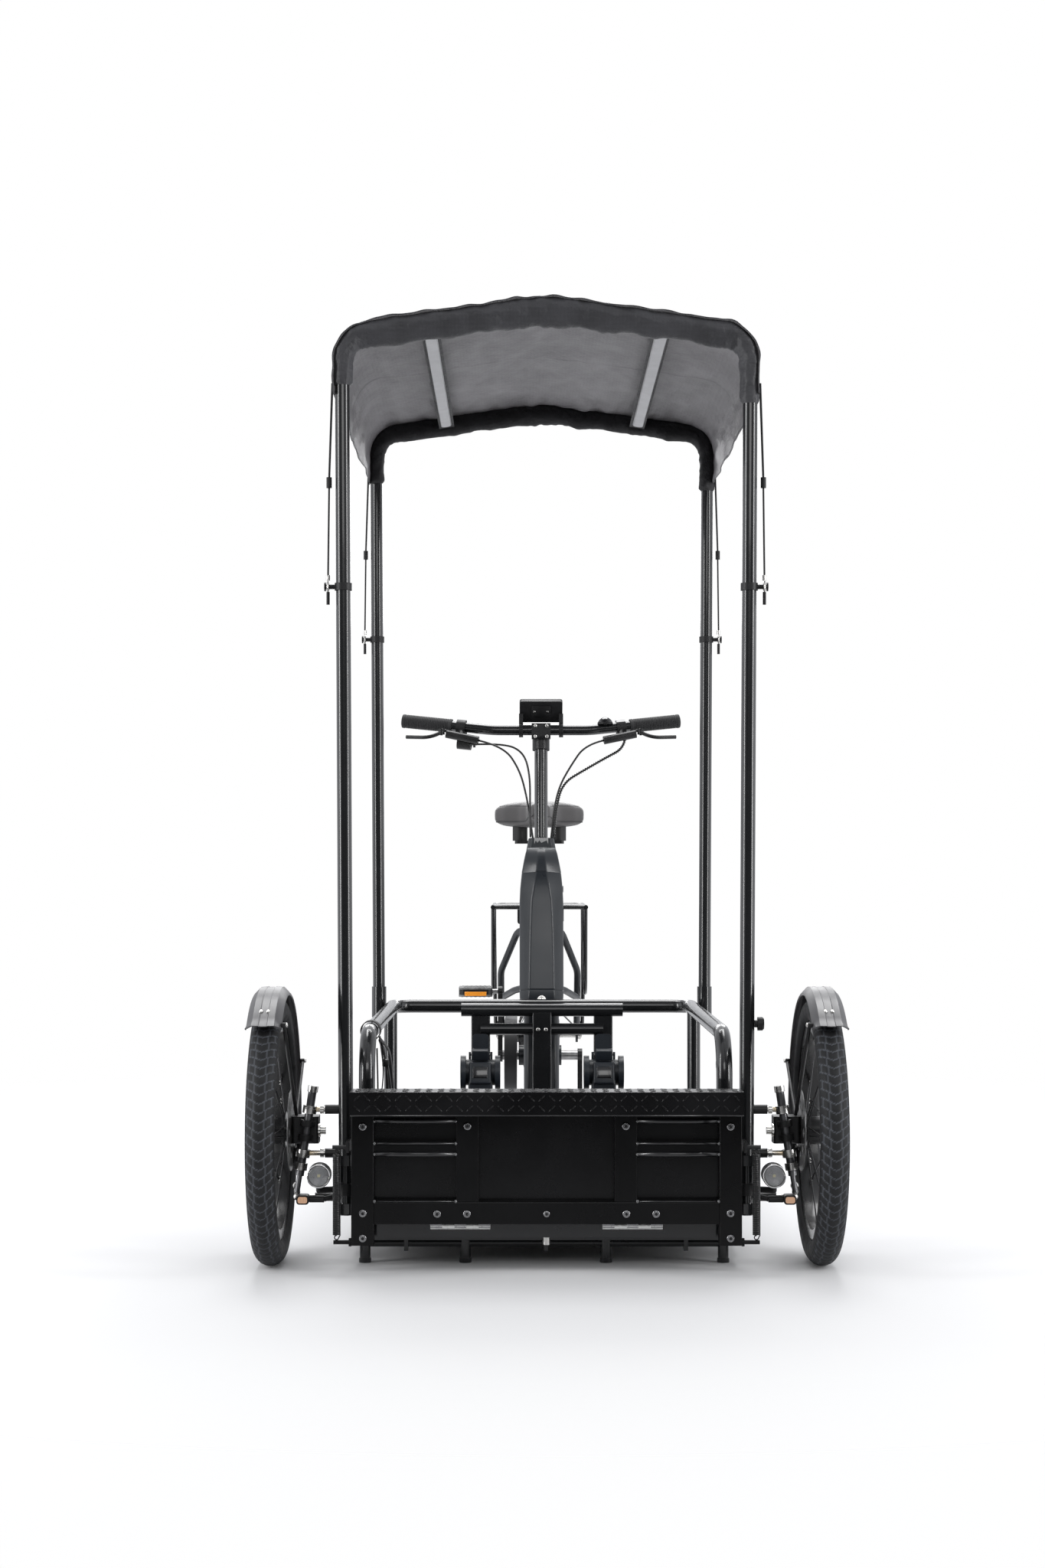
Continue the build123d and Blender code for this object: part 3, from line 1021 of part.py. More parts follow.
seat_tube = rod(seat_point(BB_Z), seat_point(SEAT_TUBE_TOP_Z), SEAT_TUBE_R)
brace = rod((0, 330, 214), seat_point(560), 14)
main_frame = fused(bb_shell, spine, seat_tube, brace)
main_frame -= rod((-80, BB_Y, BB_Z), (80, BB_Y, BB_Z), SHAFT_R + RUN_FIT)
main_frame -= rod(seat_point(420), seat_point(SEAT_TUBE_TOP_Z + 30), SEAT_POST_R + RUN_FIT)
save("main_frame", main_frame, *pair(cheek))

STAY_TUBE_R = 9.0
upper_start, lower_start = seat_point(600), seat_point(455)
upper_stay = bent([(12, upper_start[1] + 8, 600), (58, upper_start[1] + 92, 592),
                   (DROPOUT_X, REAR_AXLE_Y - 92, 480), (DROPOUT_X, REAR_AXLE_Y - 6, 335)],
                  [70.0, 80.0], STAY_TUBE_R)
lower_stay = bent([(12, lower_start[1] + 8, 455), (66, lower_start[1] + 110, 436),
                   (DROPOUT_X, REAR_AXLE_Y - 110, 408), (DROPOUT_X, REAR_AXLE_Y - 12, 325)],
                  [80.0, 60.0], STAY_TUBE_R)
dropout = rod((DROPOUT_X - 3, REAR_AXLE_Y, REAR_WHEEL_R), (DROPOUT_X + 3, REAR_AXLE_Y, REAR_WHEEL_R), 20)
dropout += block((DROPOUT_X - 3, DROPOUT_X + 3), (REAR_AXLE_Y - 24, REAR_AXLE_Y + 10),
                 (REAR_WHEEL_R, REAR_WHEEL_R + 52), 6, Axis.X)
stays_side = fused(upper_stay, lower_stay, dropout) - seat_tube
rear_axle = rod((-DROPOUT_X - 14, REAR_AXLE_Y, REAR_WHEEL_R), (DROPOUT_X + 14, REAR_AXLE_Y, REAR_WHEEL_R),
                REAR_AXLE_R)
axle_hole = rod((-200, REAR_AXLE_Y, REAR_WHEEL_R), (200, REAR_AXLE_Y, REAR_WHEEL_R), REAR_AXLE_R)
save("rear_frame", stays_side - axle_hole, mirrored(stays_side) - axle_hole, rear_axle)

# rear mudguard
rear_fender = fender(rear_centre, REAR_FENDER_R, 30.0, 108.0, 62.0)
STAY_TURN = radians(75)
rear_stays = []
for side in SIDES:
    stay_foot = (side * (DROPOUT_X + 6), REAR_AXLE_Y + 6, REAR_WHEEL_R + 12)
    stay_head = (side * 30, REAR_AXLE_Y + (REAR_FENDER_R - 15) * sin(STAY_TURN),
                 REAR_WHEEL_R + (REAR_FENDER_R - 15) * cos(STAY_TURN))
    rear_stays.append(rod(stay_foot, stay_head, 2.5) - rear_fender - stays_side
                      - mirrored(stays_side))
save("rear_fender", rear_fender, *rear_stays)


# chain case, chain and cranks
def case_hull(extra, x_low, x_high):
    """Solid round both sprockets, between two planes across X."""
    plane = Plane(origin=(x_low, 0, 0), x_dir=(0, 1, 0), z_dir=(1, 0, 0))
    front = Pos(BB_Y, BB_Z) * Circle(CHAINRING_R + extra)
    rear = Pos(REAR_AXLE_Y, REAR_WHEEL_R) * Circle(SPROCKET_R + extra)
    hull = make_hull([*front.edges(), *rear.edges()])
    return extrude(plane * hull, x_high - x_low)


case_low, case_high = CHAIN_X - CASE_W / 2, CHAIN_X + CASE_W / 2
case = case_hull(16, case_low, case_high)
case -= case_hull(16 - CASE_WALL, case_low + CASE_WALL, case_high - CASE_WALL)
case -= rod((case_low - 5, BB_Y, BB_Z), (case_high + 5, BB_Y, BB_Z), 27)
case -= rod((case_low + 5, REAR_AXLE_Y, REAR_WHEEL_R), (case_high + 5, REAR_AXLE_Y, REAR_WHEEL_R), 24)
case -= rod((case_low - 5, REAR_AXLE_Y, REAR_WHEEL_R), (case_low + 5, REAR_AXLE_Y, REAR_WHEEL_R),
            REAR_AXLE_R + BODY_GAP)
save("chain_case", case)
chain = case_hull(CHAIN_T + 0.5, CHAIN_X - 4, CHAIN_X + 4)
chain -= case_hull(0.5, CHAIN_X - 4, CHAIN_X + 4)
save("drive_chain", chain)

spindle = rod((-CRANK_X, BB_Y, BB_Z), (CRANK_X, BB_Y, BB_Z), SHAFT_R)
chainring = rod((CHAIN_X - 2, BB_Y, BB_Z), (CHAIN_X + 2, BB_Y, BB_Z), CHAINRING_R, SHAFT_R)
crank_parts = [chainring, spindle]
for side in SIDES:
    reach = -side * CRANK_LEN
    start, end = side * CRANK_X, side * (CRANK_X + CRANK_T)
    boss = rod((start, BB_Y, BB_Z), (end, BB_Y, BB_Z), 17)
    eye = rod((start, BB_Y, BB_Z + reach), (end, BB_Y, BB_Z + reach), 13)
    web = block((start, end), (BB_Y - 11, BB_Y + 11), (BB_Z, BB_Z + reach))
    pedal_pin = rod((end, BB_Y, BB_Z + reach), (end + side * 98, BB_Y, BB_Z + reach), PEDAL_PIN_R)
    crank_parts.append(fused(boss, eye, web, pedal_pin))
save("crankset", *crank_parts)

PEDAL_IN = CRANK_X + CRANK_T + 14.0
for side, name in ((1, "pedal_left"), (-1, "pedal_right")):
    level = BB_Z - side * CRANK_LEN
    ends = (side * PEDAL_IN, side * (PEDAL_IN + PEDAL_W))
    cage = block(ends, (BB_Y - PEDAL_L / 2, BB_Y + PEDAL_L / 2), (level - PEDAL_H / 2, level + PEDAL_H / 2),
                 14)
    windows = block((side * (PEDAL_IN + 12), side * (PEDAL_IN + PEDAL_W - 12)),
                    (BB_Y + 16, BB_Y + PEDAL_L / 2 - 12), (level - PEDAL_H, level + PEDAL_H), 4)
    cage = cage - windows - windows.mirror(Plane(origin=(0, BB_Y, 0), z_dir=(0, 1, 0)))
    cage -= rod((0, BB_Y, level), (side * 300, BB_Y, level), PEDAL_PIN_R + RUN_FIT)
    save(name, cage)

# saddle
saddle_y = seat_point(SADDLE_TOP - SADDLE_H)[1]
wing = SADDLE_W / 2 - 62.0
wings = [Pos(side * wing, saddle_y + 60) * Circle(62) for side in SIDES]
nose = Pos(0, saddle_y + 60 + 62 - SADDLE_L + 30) * Circle(30)
outline = make_hull([*wings[0].edges(), *wings[1].edges(), *nose.edges()])
saddle = Pos(0, 0, SADDLE_TOP - SADDLE_H) * extrude(outline, SADDLE_H)
saddle = fillet(saddle.edges().sort_by(Axis.Z)[-6:], 22)
save("saddle_cover", saddle)

post_low, post_high = seat_point(440), seat_point(SADDLE_TOP - SADDLE_H - 52)
post = rod(post_low, post_high, SEAT_POST_R)
clamp = block((-24, 24), (post_high[1] - 22, post_high[1] + 34),
              (post_high[2] - 6, post_high[2] + 16), 5, Axis.X)
spring_plate = block((-66, 66), (saddle_y + 26, saddle_y + 74), (post_high[2] + 4, post_high[2] + 12), 8)
nose_rail = rod((0, post_high[1], post_high[2] + 14), (0, saddle_y - 88, SADDLE_TOP - SADDLE_H), 5)
cushions = []
for side in SIDES:
    spot = (side * 52, saddle_y + 52)
    unit = rod((*spot, post_high[2] + 12), (*spot, SADDLE_TOP - SADDLE_H), 20)
    cushions.append(unit)
seat_clamp = rod(seat_point(SEAT_TUBE_TOP_Z + 1), seat_point(SEAT_TUBE_TOP_Z + 16), SEAT_TUBE_R,
                 SEAT_POST_R + RUN_FIT)
post_head = fused(clamp, spring_plate, nose_rail) - post - saddle
save("seat_post", post, post_head, *cushions)

# ---------------------------------------------------------------------- rack
def trimmed(pieces, body):
    """Tubes in welding order, each cut where an earlier one passes through it."""
    done = []
    for piece in pieces:
        for other in [*body, *done]:
            piece = piece - other
        done += piece.solids()
    return done


CROSS_Y = RACK_FRONT_Y + 20.0
RACK_WIRE_R = 5.0
PANNIER_Z = 420.0
deck = bent([(-RACK_HALF, RACK_FRONT_Y, RACK_Z), (-RACK_HALF, RACK_REAR_Y, RACK_Z),
             (RACK_HALF, RACK_REAR_Y, RACK_Z), (RACK_HALF, RACK_FRONT_Y, RACK_Z)],
            [40.0, 40.0], RACK_R)
rack_parts = [deck, rod((-RACK_HALF, CROSS_Y, RACK_Z), (RACK_HALF, CROSS_Y, RACK_Z), RACK_R)]
for y in (930.0, 1040.0, 1150.0):
    rack_parts.append(rod((-RACK_HALF, y, RACK_Z), (RACK_HALF, y, RACK_Z), RACK_WIRE_R))
for side in SIDES:
    rack_parts.append(rod((side * 45, CROSS_Y, RACK_Z), (side * 45, RACK_REAR_Y, RACK_Z),
                          RACK_WIRE_R))
    lug = (side * (DROPOUT_X + STAY_TUBE_R + RACK_R + 0.5), REAR_AXLE_Y, REAR_WHEEL_R + 34.0)
    edge = side * RACK_HALF
    rack_parts.append(bent([(edge, CROSS_Y + 4, RACK_Z), (edge, CROSS_Y + 34, PANNIER_Z),
                            (edge, RACK_REAR_Y - 84, PANNIER_Z), (edge, RACK_REAR_Y - 54, RACK_Z)],
                           [50.0, 50.0], RACK_WIRE_R))
    for top_y in (RACK_FRONT_Y + 90.0, RACK_REAR_Y - 120.0):
        rack_parts.append(rod(lug, (edge, top_y, RACK_Z), RACK_WIRE_R))
    lug_low = (side * (DROPOUT_X + 3), lug[1] + 4, lug[2] - 14)
    rack_parts.append(rod(lug_low, (lug[0], lug[1], lug[2]), 7))
    rack_parts.append(rod((side * 45, CROSS_Y, RACK_Z), (side * 12, seat_point(625)[1], 625),
                          RACK_WIRE_R))
rack_parts.append(rod((0, 1040.0, REAR_WHEEL_R + REAR_FENDER_R - 8), (0, 1040.0, RACK_Z), RACK_WIRE_R))
LAMP_PLATE = (RACK_REAR_Y + RACK_R - 1.0, REAR_LAMP_Y)
lamp_plate = block((-60, 60), LAMP_PLATE, (RACK_Z - 56, RACK_Z + 4), 8, Axis.Y)
for side in SIDES:
    x = side * LAMP_HOLES / 2
    lamp_plate -= rod((x, LAMP_PLATE[0] - 5, RACK_Z - 34), (x, LAMP_PLATE[1] + 5, RACK_Z - 34),
                      LAMP_HOLE_R)
rack_parts.append(lamp_plate)
frame_solids = [seat_tube, stays_side, mirrored(stays_side), rear_fender]
save("rear_rack", *trimmed(rack_parts, frame_solids))

# -------------------------------------------------- silver fixings on chassis
dock_bolts = [button_head(x, DOCK_LOW_Z, DOCK_Y - 20, 5) for x in (-9, 9)]
nipple = rod((0, -1108, HINGE_Z - LIP_H), (0, -1108, HINGE_Z - LIP_H - 16), 7)
axle_nuts = rod((DROPOUT_X + 3, REAR_AXLE_Y, REAR_WHEEL_R), (DROPOUT_X + 11, REAR_AXLE_Y, REAR_WHEEL_R),
                12, REAR_AXLE_R)
anchor_z = SPRING_HIGH + 4.0 + BODY_GAP
spring_bolt = rod((PLATE_OUT, SPRING_Y, anchor_z), (SPRING_X + 8, SPRING_Y, anchor_z), 4)
spring_tie = block((PLATE_OUT, PLATE_OUT + 6), (SPRING_Y - 8, KINGPIN_Y - 9),
                   (anchor_z - 10, anchor_z + 10))
pole_cut = rod((POLE_FOOT_X, FRONT_POLE_Y, FRONT_POLE_FOOT_Z),
               (POLE_TOP_X, FRONT_POLE_Y, POLE_JOINT_Z), POLE_R)
spring_tie = fused(spring_tie, spring_bolt) - pole_cut
save("frame_fasteners", *fixed_hinges, *dock_bolts, nipple, *pair(axle_nuts), *studs,
     seat_clamp, *[piece for item in spring_tie.solids() for piece in pair(item)])
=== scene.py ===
from math import acos, copysign, cos, exp, pi, radians, sin, tan

import bmesh
import bpy
import numpy as np
from mathutils import Matrix, Vector, noise


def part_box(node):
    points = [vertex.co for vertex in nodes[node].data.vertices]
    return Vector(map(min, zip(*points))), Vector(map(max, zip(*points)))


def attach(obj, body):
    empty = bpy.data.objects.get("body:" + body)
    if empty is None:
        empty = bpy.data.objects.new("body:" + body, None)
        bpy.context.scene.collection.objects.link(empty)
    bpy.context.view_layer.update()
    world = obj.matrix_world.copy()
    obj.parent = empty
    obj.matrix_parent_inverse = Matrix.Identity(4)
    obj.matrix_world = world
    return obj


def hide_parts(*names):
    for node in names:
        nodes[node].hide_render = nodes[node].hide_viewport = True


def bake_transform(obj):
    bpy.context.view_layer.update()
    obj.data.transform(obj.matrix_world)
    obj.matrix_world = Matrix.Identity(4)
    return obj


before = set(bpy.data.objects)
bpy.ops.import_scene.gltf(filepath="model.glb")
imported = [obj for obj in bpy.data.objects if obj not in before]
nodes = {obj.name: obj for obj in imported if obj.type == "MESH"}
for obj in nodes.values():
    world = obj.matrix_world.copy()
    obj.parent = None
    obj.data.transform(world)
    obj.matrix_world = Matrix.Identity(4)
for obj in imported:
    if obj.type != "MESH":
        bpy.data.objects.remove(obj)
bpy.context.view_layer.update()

# Lengths are millimetres here and metres in Blender. +X is the rider's left,
# -Y is forwards, +Z is up, and the ground is z = 0, as in the frame.
MM = 0.001
BARE_METAL = (0.55, 0.55, 0.56, 1.0)
FINE_RELIEF = 0.0004
ACRYLIC_IOR = 1.46


# ------------------------------------------------------------ shader building
def wire(tree, node, sockets):
    """The node, with each of these inputs linked to a socket or set to a value."""
    for key, value in sockets.items():
        if isinstance(value, bpy.types.NodeSocket):
            tree.links.new(value, node.inputs[key])
        else:
            node.inputs[key].default_value = value
    return node


def add(tree, kind, sockets=None, **settings):
    """New shader node with its settings made and its sockets set or linked."""
    node = tree.nodes.new(kind)
    for key, value in settings.items():
        setattr(node, key, value)
    return wire(tree, node, sockets or {})


def start_material(name):
    """Node material, its tree, its Principled shader and the object coordinates."""
    material = bpy.data.materials.new(name)
    material.use_nodes = True
    tree = material.node_tree
    coords = add(tree, "ShaderNodeTexCoord").outputs["Object"]
    return material, tree, tree.nodes["Principled BSDF"], coords


def grain(tree, coords, scale, detail=4.0, rough=0.55, stretch=(1, 1, 1)):
    """Noise value, finer with a higher scale (waves per metre)."""
    if stretch != (1, 1, 1):
        coords = add(tree, "ShaderNodeMapping", {"Vector": coords, "Scale": stretch}).outputs["Vector"]
    return add(tree, "ShaderNodeTexNoise", {"Vector": coords, "Scale": scale, "Detail": detail,
                                            "Roughness": rough}).outputs["Fac"]


def span(tree, value, low, high, start, end):
    """Value between two limits stretched to another pair of limits."""
    return add(tree, "ShaderNodeMapRange", {"Value": value, "From Min": low, "From Max": high,
                                            "To Min": start, "To Max": end}).outputs["Result"]


def maths(tree, kind, first, second=0.5):
    """Result of an arithmetic node."""
    return add(tree, "ShaderNodeMath", {0: first, 1: second}, operation=kind).outputs[0]


def blend_colours(tree, factor, first, second):
    """Colour between two, by a factor."""
    mix = add(tree, "ShaderNodeMix", {0: factor, 6: first, 7: second}, data_type="RGBA")
    return mix.outputs[2]


def shade(colour, factor):
    """RGBA of a colour made darker or lighter."""
    return (*[min(1.0, channel * factor) for channel in colour], 1.0)


def surface(name, colour, rough, metal=0.0, vary=0.2, blotch=7.0, fine=1500.0, bump=0.1,
            rough_vary=0.07, coat=0.0, coat_rough=0.1, edge=0.0, chips=0.0, sheen=0.0,
            specular=0.5, brushed=(1, 1, 1)):
    """Paint, metal, plastic or rubber with uneven colour, gloss and a fine grain."""
    material, tree, shader, coords = start_material(name)
    broad = grain(tree, coords, blotch, 5.0, 0.6)
    small = grain(tree, coords, fine, 3.0, 0.6, brushed)
    paint = blend_colours(tree, span(tree, broad, 0.35, 0.65, 0, 1), shade(colour, 1 - vary),
                          shade(colour, 1 + vary))
    roughness = span(tree, broad, 0.3, 0.7, rough - rough_vary, rough + rough_vary)
    if chips:
        spots = add(tree, "ShaderNodeTexVoronoi", {"Vector": coords, "Scale": 26.0}).outputs["Distance"]
        picked = grain(tree, coords, 9.0, 2.0)
        limit = span(tree, picked, 0.56, 0.72, 0.0, 0.11 * chips)
        ratio = maths(tree, "LESS_THAN", spots, limit)
        paint = blend_colours(tree, ratio, paint, BARE_METAL)
    relief = {"Strength": bump, "Distance": FINE_RELIEF, "Height": small}
    if edge:
        rounded = add(tree, "ShaderNodeBevel", {"Radius": edge * MM}, samples=4)
        relief["Normal"] = rounded.outputs["Normal"]
    wire(tree, shader, {"Base Color": paint, "Roughness": roughness, "Metallic": metal, "Coat Weight": coat,
                        "Coat Roughness": coat_rough, "Specular IOR Level": specular,
                        "Sheen Weight": sheen,
                        "Normal": add(tree, "ShaderNodeBump", relief).outputs["Normal"]})
    return material


def woven(name, colour, rough=0.8, threads=900.0, spread=0.25, sheen=0.2, crease=0.35, line=None):
    """Cloth of crossed threads, with soft creases in its relief and painted shade darkening the hollows of
    the creases.
    """
    material, tree, shader, coords = start_material(name)
    bands = []
    for direction in ("X", "Y", "Z"):
        wave = add(tree, "ShaderNodeTexWave", {"Vector": coords, "Scale": threads / 20.0,
                                               "Distortion": 0.6, "Detail": 1.0},
                   wave_type="BANDS", bands_direction=direction)
        bands.append(wave.outputs["Fac"])
    weave = maths(tree, "ADD", maths(tree, "ADD", bands[0], bands[1]), bands[2])
    broad = grain(tree, coords, 5.0, 5.0, 0.6)
    folds = grain(tree, coords, 16.0, 5.0, 0.6, (1.0, 0.45, 1.0))
    paint = blend_colours(tree, span(tree, broad, 0.35, 0.65, 0, 1), shade(colour, 1 - spread),
                          shade(colour, 1 + spread))
    paint = blend_colours(tree, span(tree, weave, 0.6, 2.4, 0.0, 0.18), paint, shade(colour, 1.9))
    # Painted shade: the colour darkens towards the hollows of the fold noise, standing in for shade in the
    # creases.
    paint = blend_colours(tree, span(tree, folds, 0.36, 0.6, 0.62 * crease, 0.0), paint,
                          shade(colour, 0.3))
    if line:
        mark = add(tree, "ShaderNodeAttribute", attribute_name=line).outputs["Fac"]
        paint = blend_colours(tree, mark, paint, shade(colour, 0.25))
    soft = add(tree, "ShaderNodeBump", {"Strength": crease, "Distance": 0.016, "Height": folds})
    relief = add(tree, "ShaderNodeBump", {"Strength": 0.25, "Distance": 0.0002, "Height": weave,
                                          "Normal": soft.outputs["Normal"]})
    wire(tree, shader, {"Base Color": paint, "Sheen Weight": sheen, "Sheen Roughness": 0.4,
                        "Roughness": span(tree, broad, 0.3, 0.7, rough - 0.08, rough + 0.08),
                        "Normal": relief.outputs["Normal"]})
    return material


def lens(name, colour, see_through, rough=0.08, ribs=900.0, painted_glow=0.0, direction="X"):
    """Coloured or clear lens with fine ribs on it, and a painted glow from emission when painted_glow is set.
    """
    material, tree, shader, coords = start_material(name)
    wave = add(tree, "ShaderNodeTexWave", {"Vector": coords, "Scale": ribs / 20.0, "Distortion": 0.0},
               wave_type="BANDS", bands_direction=direction).outputs["Fac"]
    cloudy = grain(tree, coords, 60.0)
    paint = blend_colours(tree, cloudy, shade(colour, 0.85), shade(colour, 1.1))
    # Painted glow: the lens gives off a faint light of its own colour.
    if painted_glow:
        wire(tree, shader, {"Emission Color": shade(colour, 1.0), "Emission Strength": painted_glow})
    relief = add(tree, "ShaderNodeBump", {"Strength": 0.4, "Distance": 0.0006, "Height": wave})
    wire(tree, shader, {"Base Color": paint, "Transmission Weight": see_through, "IOR": ACRYLIC_IOR,
                        "Roughness": span(tree, cloudy, 0.3, 0.7, rough, rough + 0.08),
                        "Normal": relief.outputs["Normal"]})
    return material


def rubber_tread(name):
    """Tyre rubber: dark blocks with lighter, bluish grey grooves between them."""
    material, tree, shader, coords = start_material(name)
    groove = add(tree, "ShaderNodeAttribute", attribute_name="groove").outputs["Fac"]
    tread_tone = grain(tree, coords, 40.0, 6.0, 0.7)
    block = blend_colours(tree, span(tree, tread_tone, 0.35, 0.7, 0, 1), (0.007, 0.0073, 0.008, 1),
                          (0.018, 0.0185, 0.02, 1))
    # The grooves are coloured a lighter, bluish grey than the blocks.
    valley = blend_colours(tree, tread_tone, (0.045, 0.049, 0.057, 1), (0.13, 0.14, 0.16, 1))
    small = grain(tree, coords, 1800.0, 3.0)
    relief = add(tree, "ShaderNodeBump", {"Strength": 0.15, "Distance": FINE_RELIEF, "Height": small})
    wire(tree, shader, {"Base Color": blend_colours(tree, groove, block, valley),
                        "Roughness": span(tree, tread_tone, 0.3, 0.7, 0.5, 0.75),
                        "Specular IOR Level": 0.25, "Normal": relief.outputs["Normal"]})
    return material


BLACK = (0.0075, 0.008, 0.0088)
SLATE = (0.0125, 0.015, 0.0185)
frame_paint = surface("frame_paint", BLACK, 0.24, vary=0.15, coat=0.4, coat_rough=0.08, edge=0.8,
                      bump=0.02, specular=0.35, fine=500.0)
tube_paint = surface("tube_paint", BLACK, 0.22, vary=0.12, coat=0.6, coat_rough=0.07, bump=0.002,
                     specular=0.4, fine=200.0, rough_vary=0.02)
ramp_paint = surface("ramp_paint", (0.003, 0.003, 0.0033), 0.3, vary=0.25, coat=0.06, coat_rough=0.14,
                     edge=2.2, bump=0.05, chips=0.25, specular=0.16, fine=500.0)
plate_paint = surface("plate_paint", (0.0035, 0.0035, 0.004), 0.27, vary=0.25, coat=0.12, edge=0.8,
                      bump=0.08, chips=0.55, specular=0.22, fine=600.0)
slate_paint = surface("slate_paint", SLATE, 0.38, vary=0.18, coat=0.12, coat_rough=0.3, edge=2.0,
                      bump=0.04, specular=0.35)
slate_case = surface("slate_case", (0.0135, 0.0165, 0.0205), 0.33, vary=0.12, coat=0.22, coat_rough=0.2,
                     edge=1.2, bump=0.03, specular=0.4)
dark_cast = surface("dark_cast", (0.009, 0.009, 0.0095), 0.38, vary=0.25, edge=1.0, bump=0.1,
                    specular=0.4)
fender_plastic = surface("fender_plastic", (0.058, 0.057, 0.06), 0.42, vary=0.12, blotch=12.0,
                         bump=0.05, coat=0.15, coat_rough=0.25)
steel = surface("steel", (0.6, 0.59, 0.57), 0.24, metal=1.0, vary=0.16, blotch=45.0, bump=0.06,
                rough_vary=0.1, edge=0.4)
screw_steel = surface("screw_steel", (0.26, 0.26, 0.265), 0.22, metal=1.0, vary=0.25, blotch=90.0,
                      bump=0.06, edge=0.6)
brass_steel = surface("brass_steel", (0.5, 0.41, 0.28), 0.26, metal=1.0, vary=0.2, blotch=60.0,
                      bump=0.08, edge=0.4)
grey_tube = surface("grey_tube", (0.13, 0.13, 0.135), 0.33, metal=0.8, vary=0.25, blotch=30.0, bump=0.08)
dull_steel = surface("dull_steel", (0.3, 0.3, 0.3), 0.36, metal=1.0, vary=0.2, blotch=50.0, bump=0.1,
                     edge=0.3, brushed=(1, 1, 8))
spring_steel = surface("spring_steel", (0.012, 0.012, 0.0125), 0.33, specular=0.45, vary=0.3, blotch=80.0,
                       bump=0.05)
black_plastic = surface("black_plastic", (0.008, 0.008, 0.0088), 0.45, vary=0.25, edge=0.8, bump=0.15,
                        specular=0.35)
gloss_plastic = surface("gloss_plastic", (0.007, 0.007, 0.008), 0.14, vary=0.2, coat=0.5, edge=0.6,
                        bump=0.02)
unit_plastic = surface("unit_plastic", (0.009, 0.012, 0.0165), 0.4, vary=0.22, edge=1.4, bump=0.12,
                       specular=0.4)
batten_plastic = surface("batten_plastic", (0.5, 0.5, 0.515), 0.42, vary=0.1, blotch=25.0, bump=0.1,
                         brushed=(1, 0.1, 1), edge=1.5)
cord_fabric = surface("cord_fabric", (0.012, 0.012, 0.013), 0.75, vary=0.4, blotch=300.0, fine=900.0,
                      bump=0.4, sheen=0.15)
cable_jacket = surface("cable_jacket", (0.007, 0.007, 0.007), 0.34, vary=0.2, bump=0.03)
grip_rubber = surface("grip_rubber", (0.02, 0.02, 0.021), 0.68, vary=0.2, fine=2200.0, bump=0.25,
                      sheen=0.08, specular=0.35)
rim_black = surface("rim_black", (0.007, 0.007, 0.0075), 0.27, vary=0.2, coat=0.3, edge=0.8, bump=0.03)
spoke_metal = surface("spoke_metal", (0.05, 0.05, 0.052), 0.35, metal=0.9, vary=0.2, bump=0.05)
saddle_vinyl = surface("saddle_vinyl", (0.036, 0.0325, 0.0325), 0.52, vary=0.18, blotch=14.0,
                       fine=700.0, bump=0.3, sheen=0.12, coat=0.1, coat_rough=0.4)
elastomer = surface("elastomer", (0.007, 0.007, 0.007), 0.55, vary=0.2, bump=0.15)
screen_glass = surface("screen_glass", (0.004, 0.005, 0.007), 0.06, vary=0.1, coat=1.0, coat_rough=0.02,
                       bump=0.01)
canopy_outer = woven("canopy_outer", (0.032, 0.032, 0.0365), 0.56, crease=0.7, sheen=0.16)
# A darker copy of the outer cloth, for the rear sleeve and for the painted-shade strips over the slats.
canopy_rear = woven("canopy_rear", (0.013, 0.013, 0.015), 0.62, crease=0.7, sheen=0.1)
canopy_lining = woven("canopy_lining", (0.175, 0.168, 0.178), 0.5, crease=0.55, sheen=0.15, line="seam")
webbing = woven("webbing", (0.01, 0.01, 0.0105), 0.78, threads=2600.0, crease=0.15, sheen=0.1)
tyre_rubber = rubber_tread("tyre_rubber")
clear_lens = lens("clear_lens", (0.92, 0.94, 0.96), 0.9, ribs=700.0)
# The amber lens, the orange reflector and the LED emitter get a faint painted glow.
amber_lens = lens("amber_lens", (0.93, 0.56, 0.36), 0.25, rough=0.12, ribs=1800.0, painted_glow=0.08)
orange_reflector = lens("orange_reflector", (0.95, 0.33, 0.03), 0.1, rough=0.12, ribs=2200.0, painted_glow=0.06)
red_lens = lens("red_lens", (0.6, 0.02, 0.015), 0.2, rough=0.1, ribs=1600.0)
pink_strip = lens("pink_strip", (0.85, 0.5, 0.42), 0.0, rough=0.3, ribs=3000.0, direction="Z")
amber_glow = lens("led_phosphor", (0.9, 0.8, 0.35), 0.0, rough=0.3, painted_glow=0.1)
zinc = surface("zinc", (0.86, 0.86, 0.84), 0.42, metal=0.85, vary=0.1, blotch=60.0, bump=0.08, edge=0.4)
lamp_bowl = surface("lamp_bowl", (0.2, 0.2, 0.21), 0.3, metal=0.9, vary=0.2, blotch=80.0, bump=0.02)
chrome = surface("chrome", (0.85, 0.85, 0.85), 0.08, metal=1.0, vary=0.05, rough_vary=0.03, bump=0.01)
fold_paint = surface("fold_paint", (0.008, 0.008, 0.009), 0.28, vary=0.3, coat=0.4, specular=0.5, bump=0.02)
# Lighter grey for the beads at the rib corners: a painted highlight.
fold_highlight = surface("fold_highlight", (0.06, 0.06, 0.062), 0.2, vary=0.5, blotch=120.0, coat=1.0,
                    specular=0.9, bump=0.2, fine=400.0)


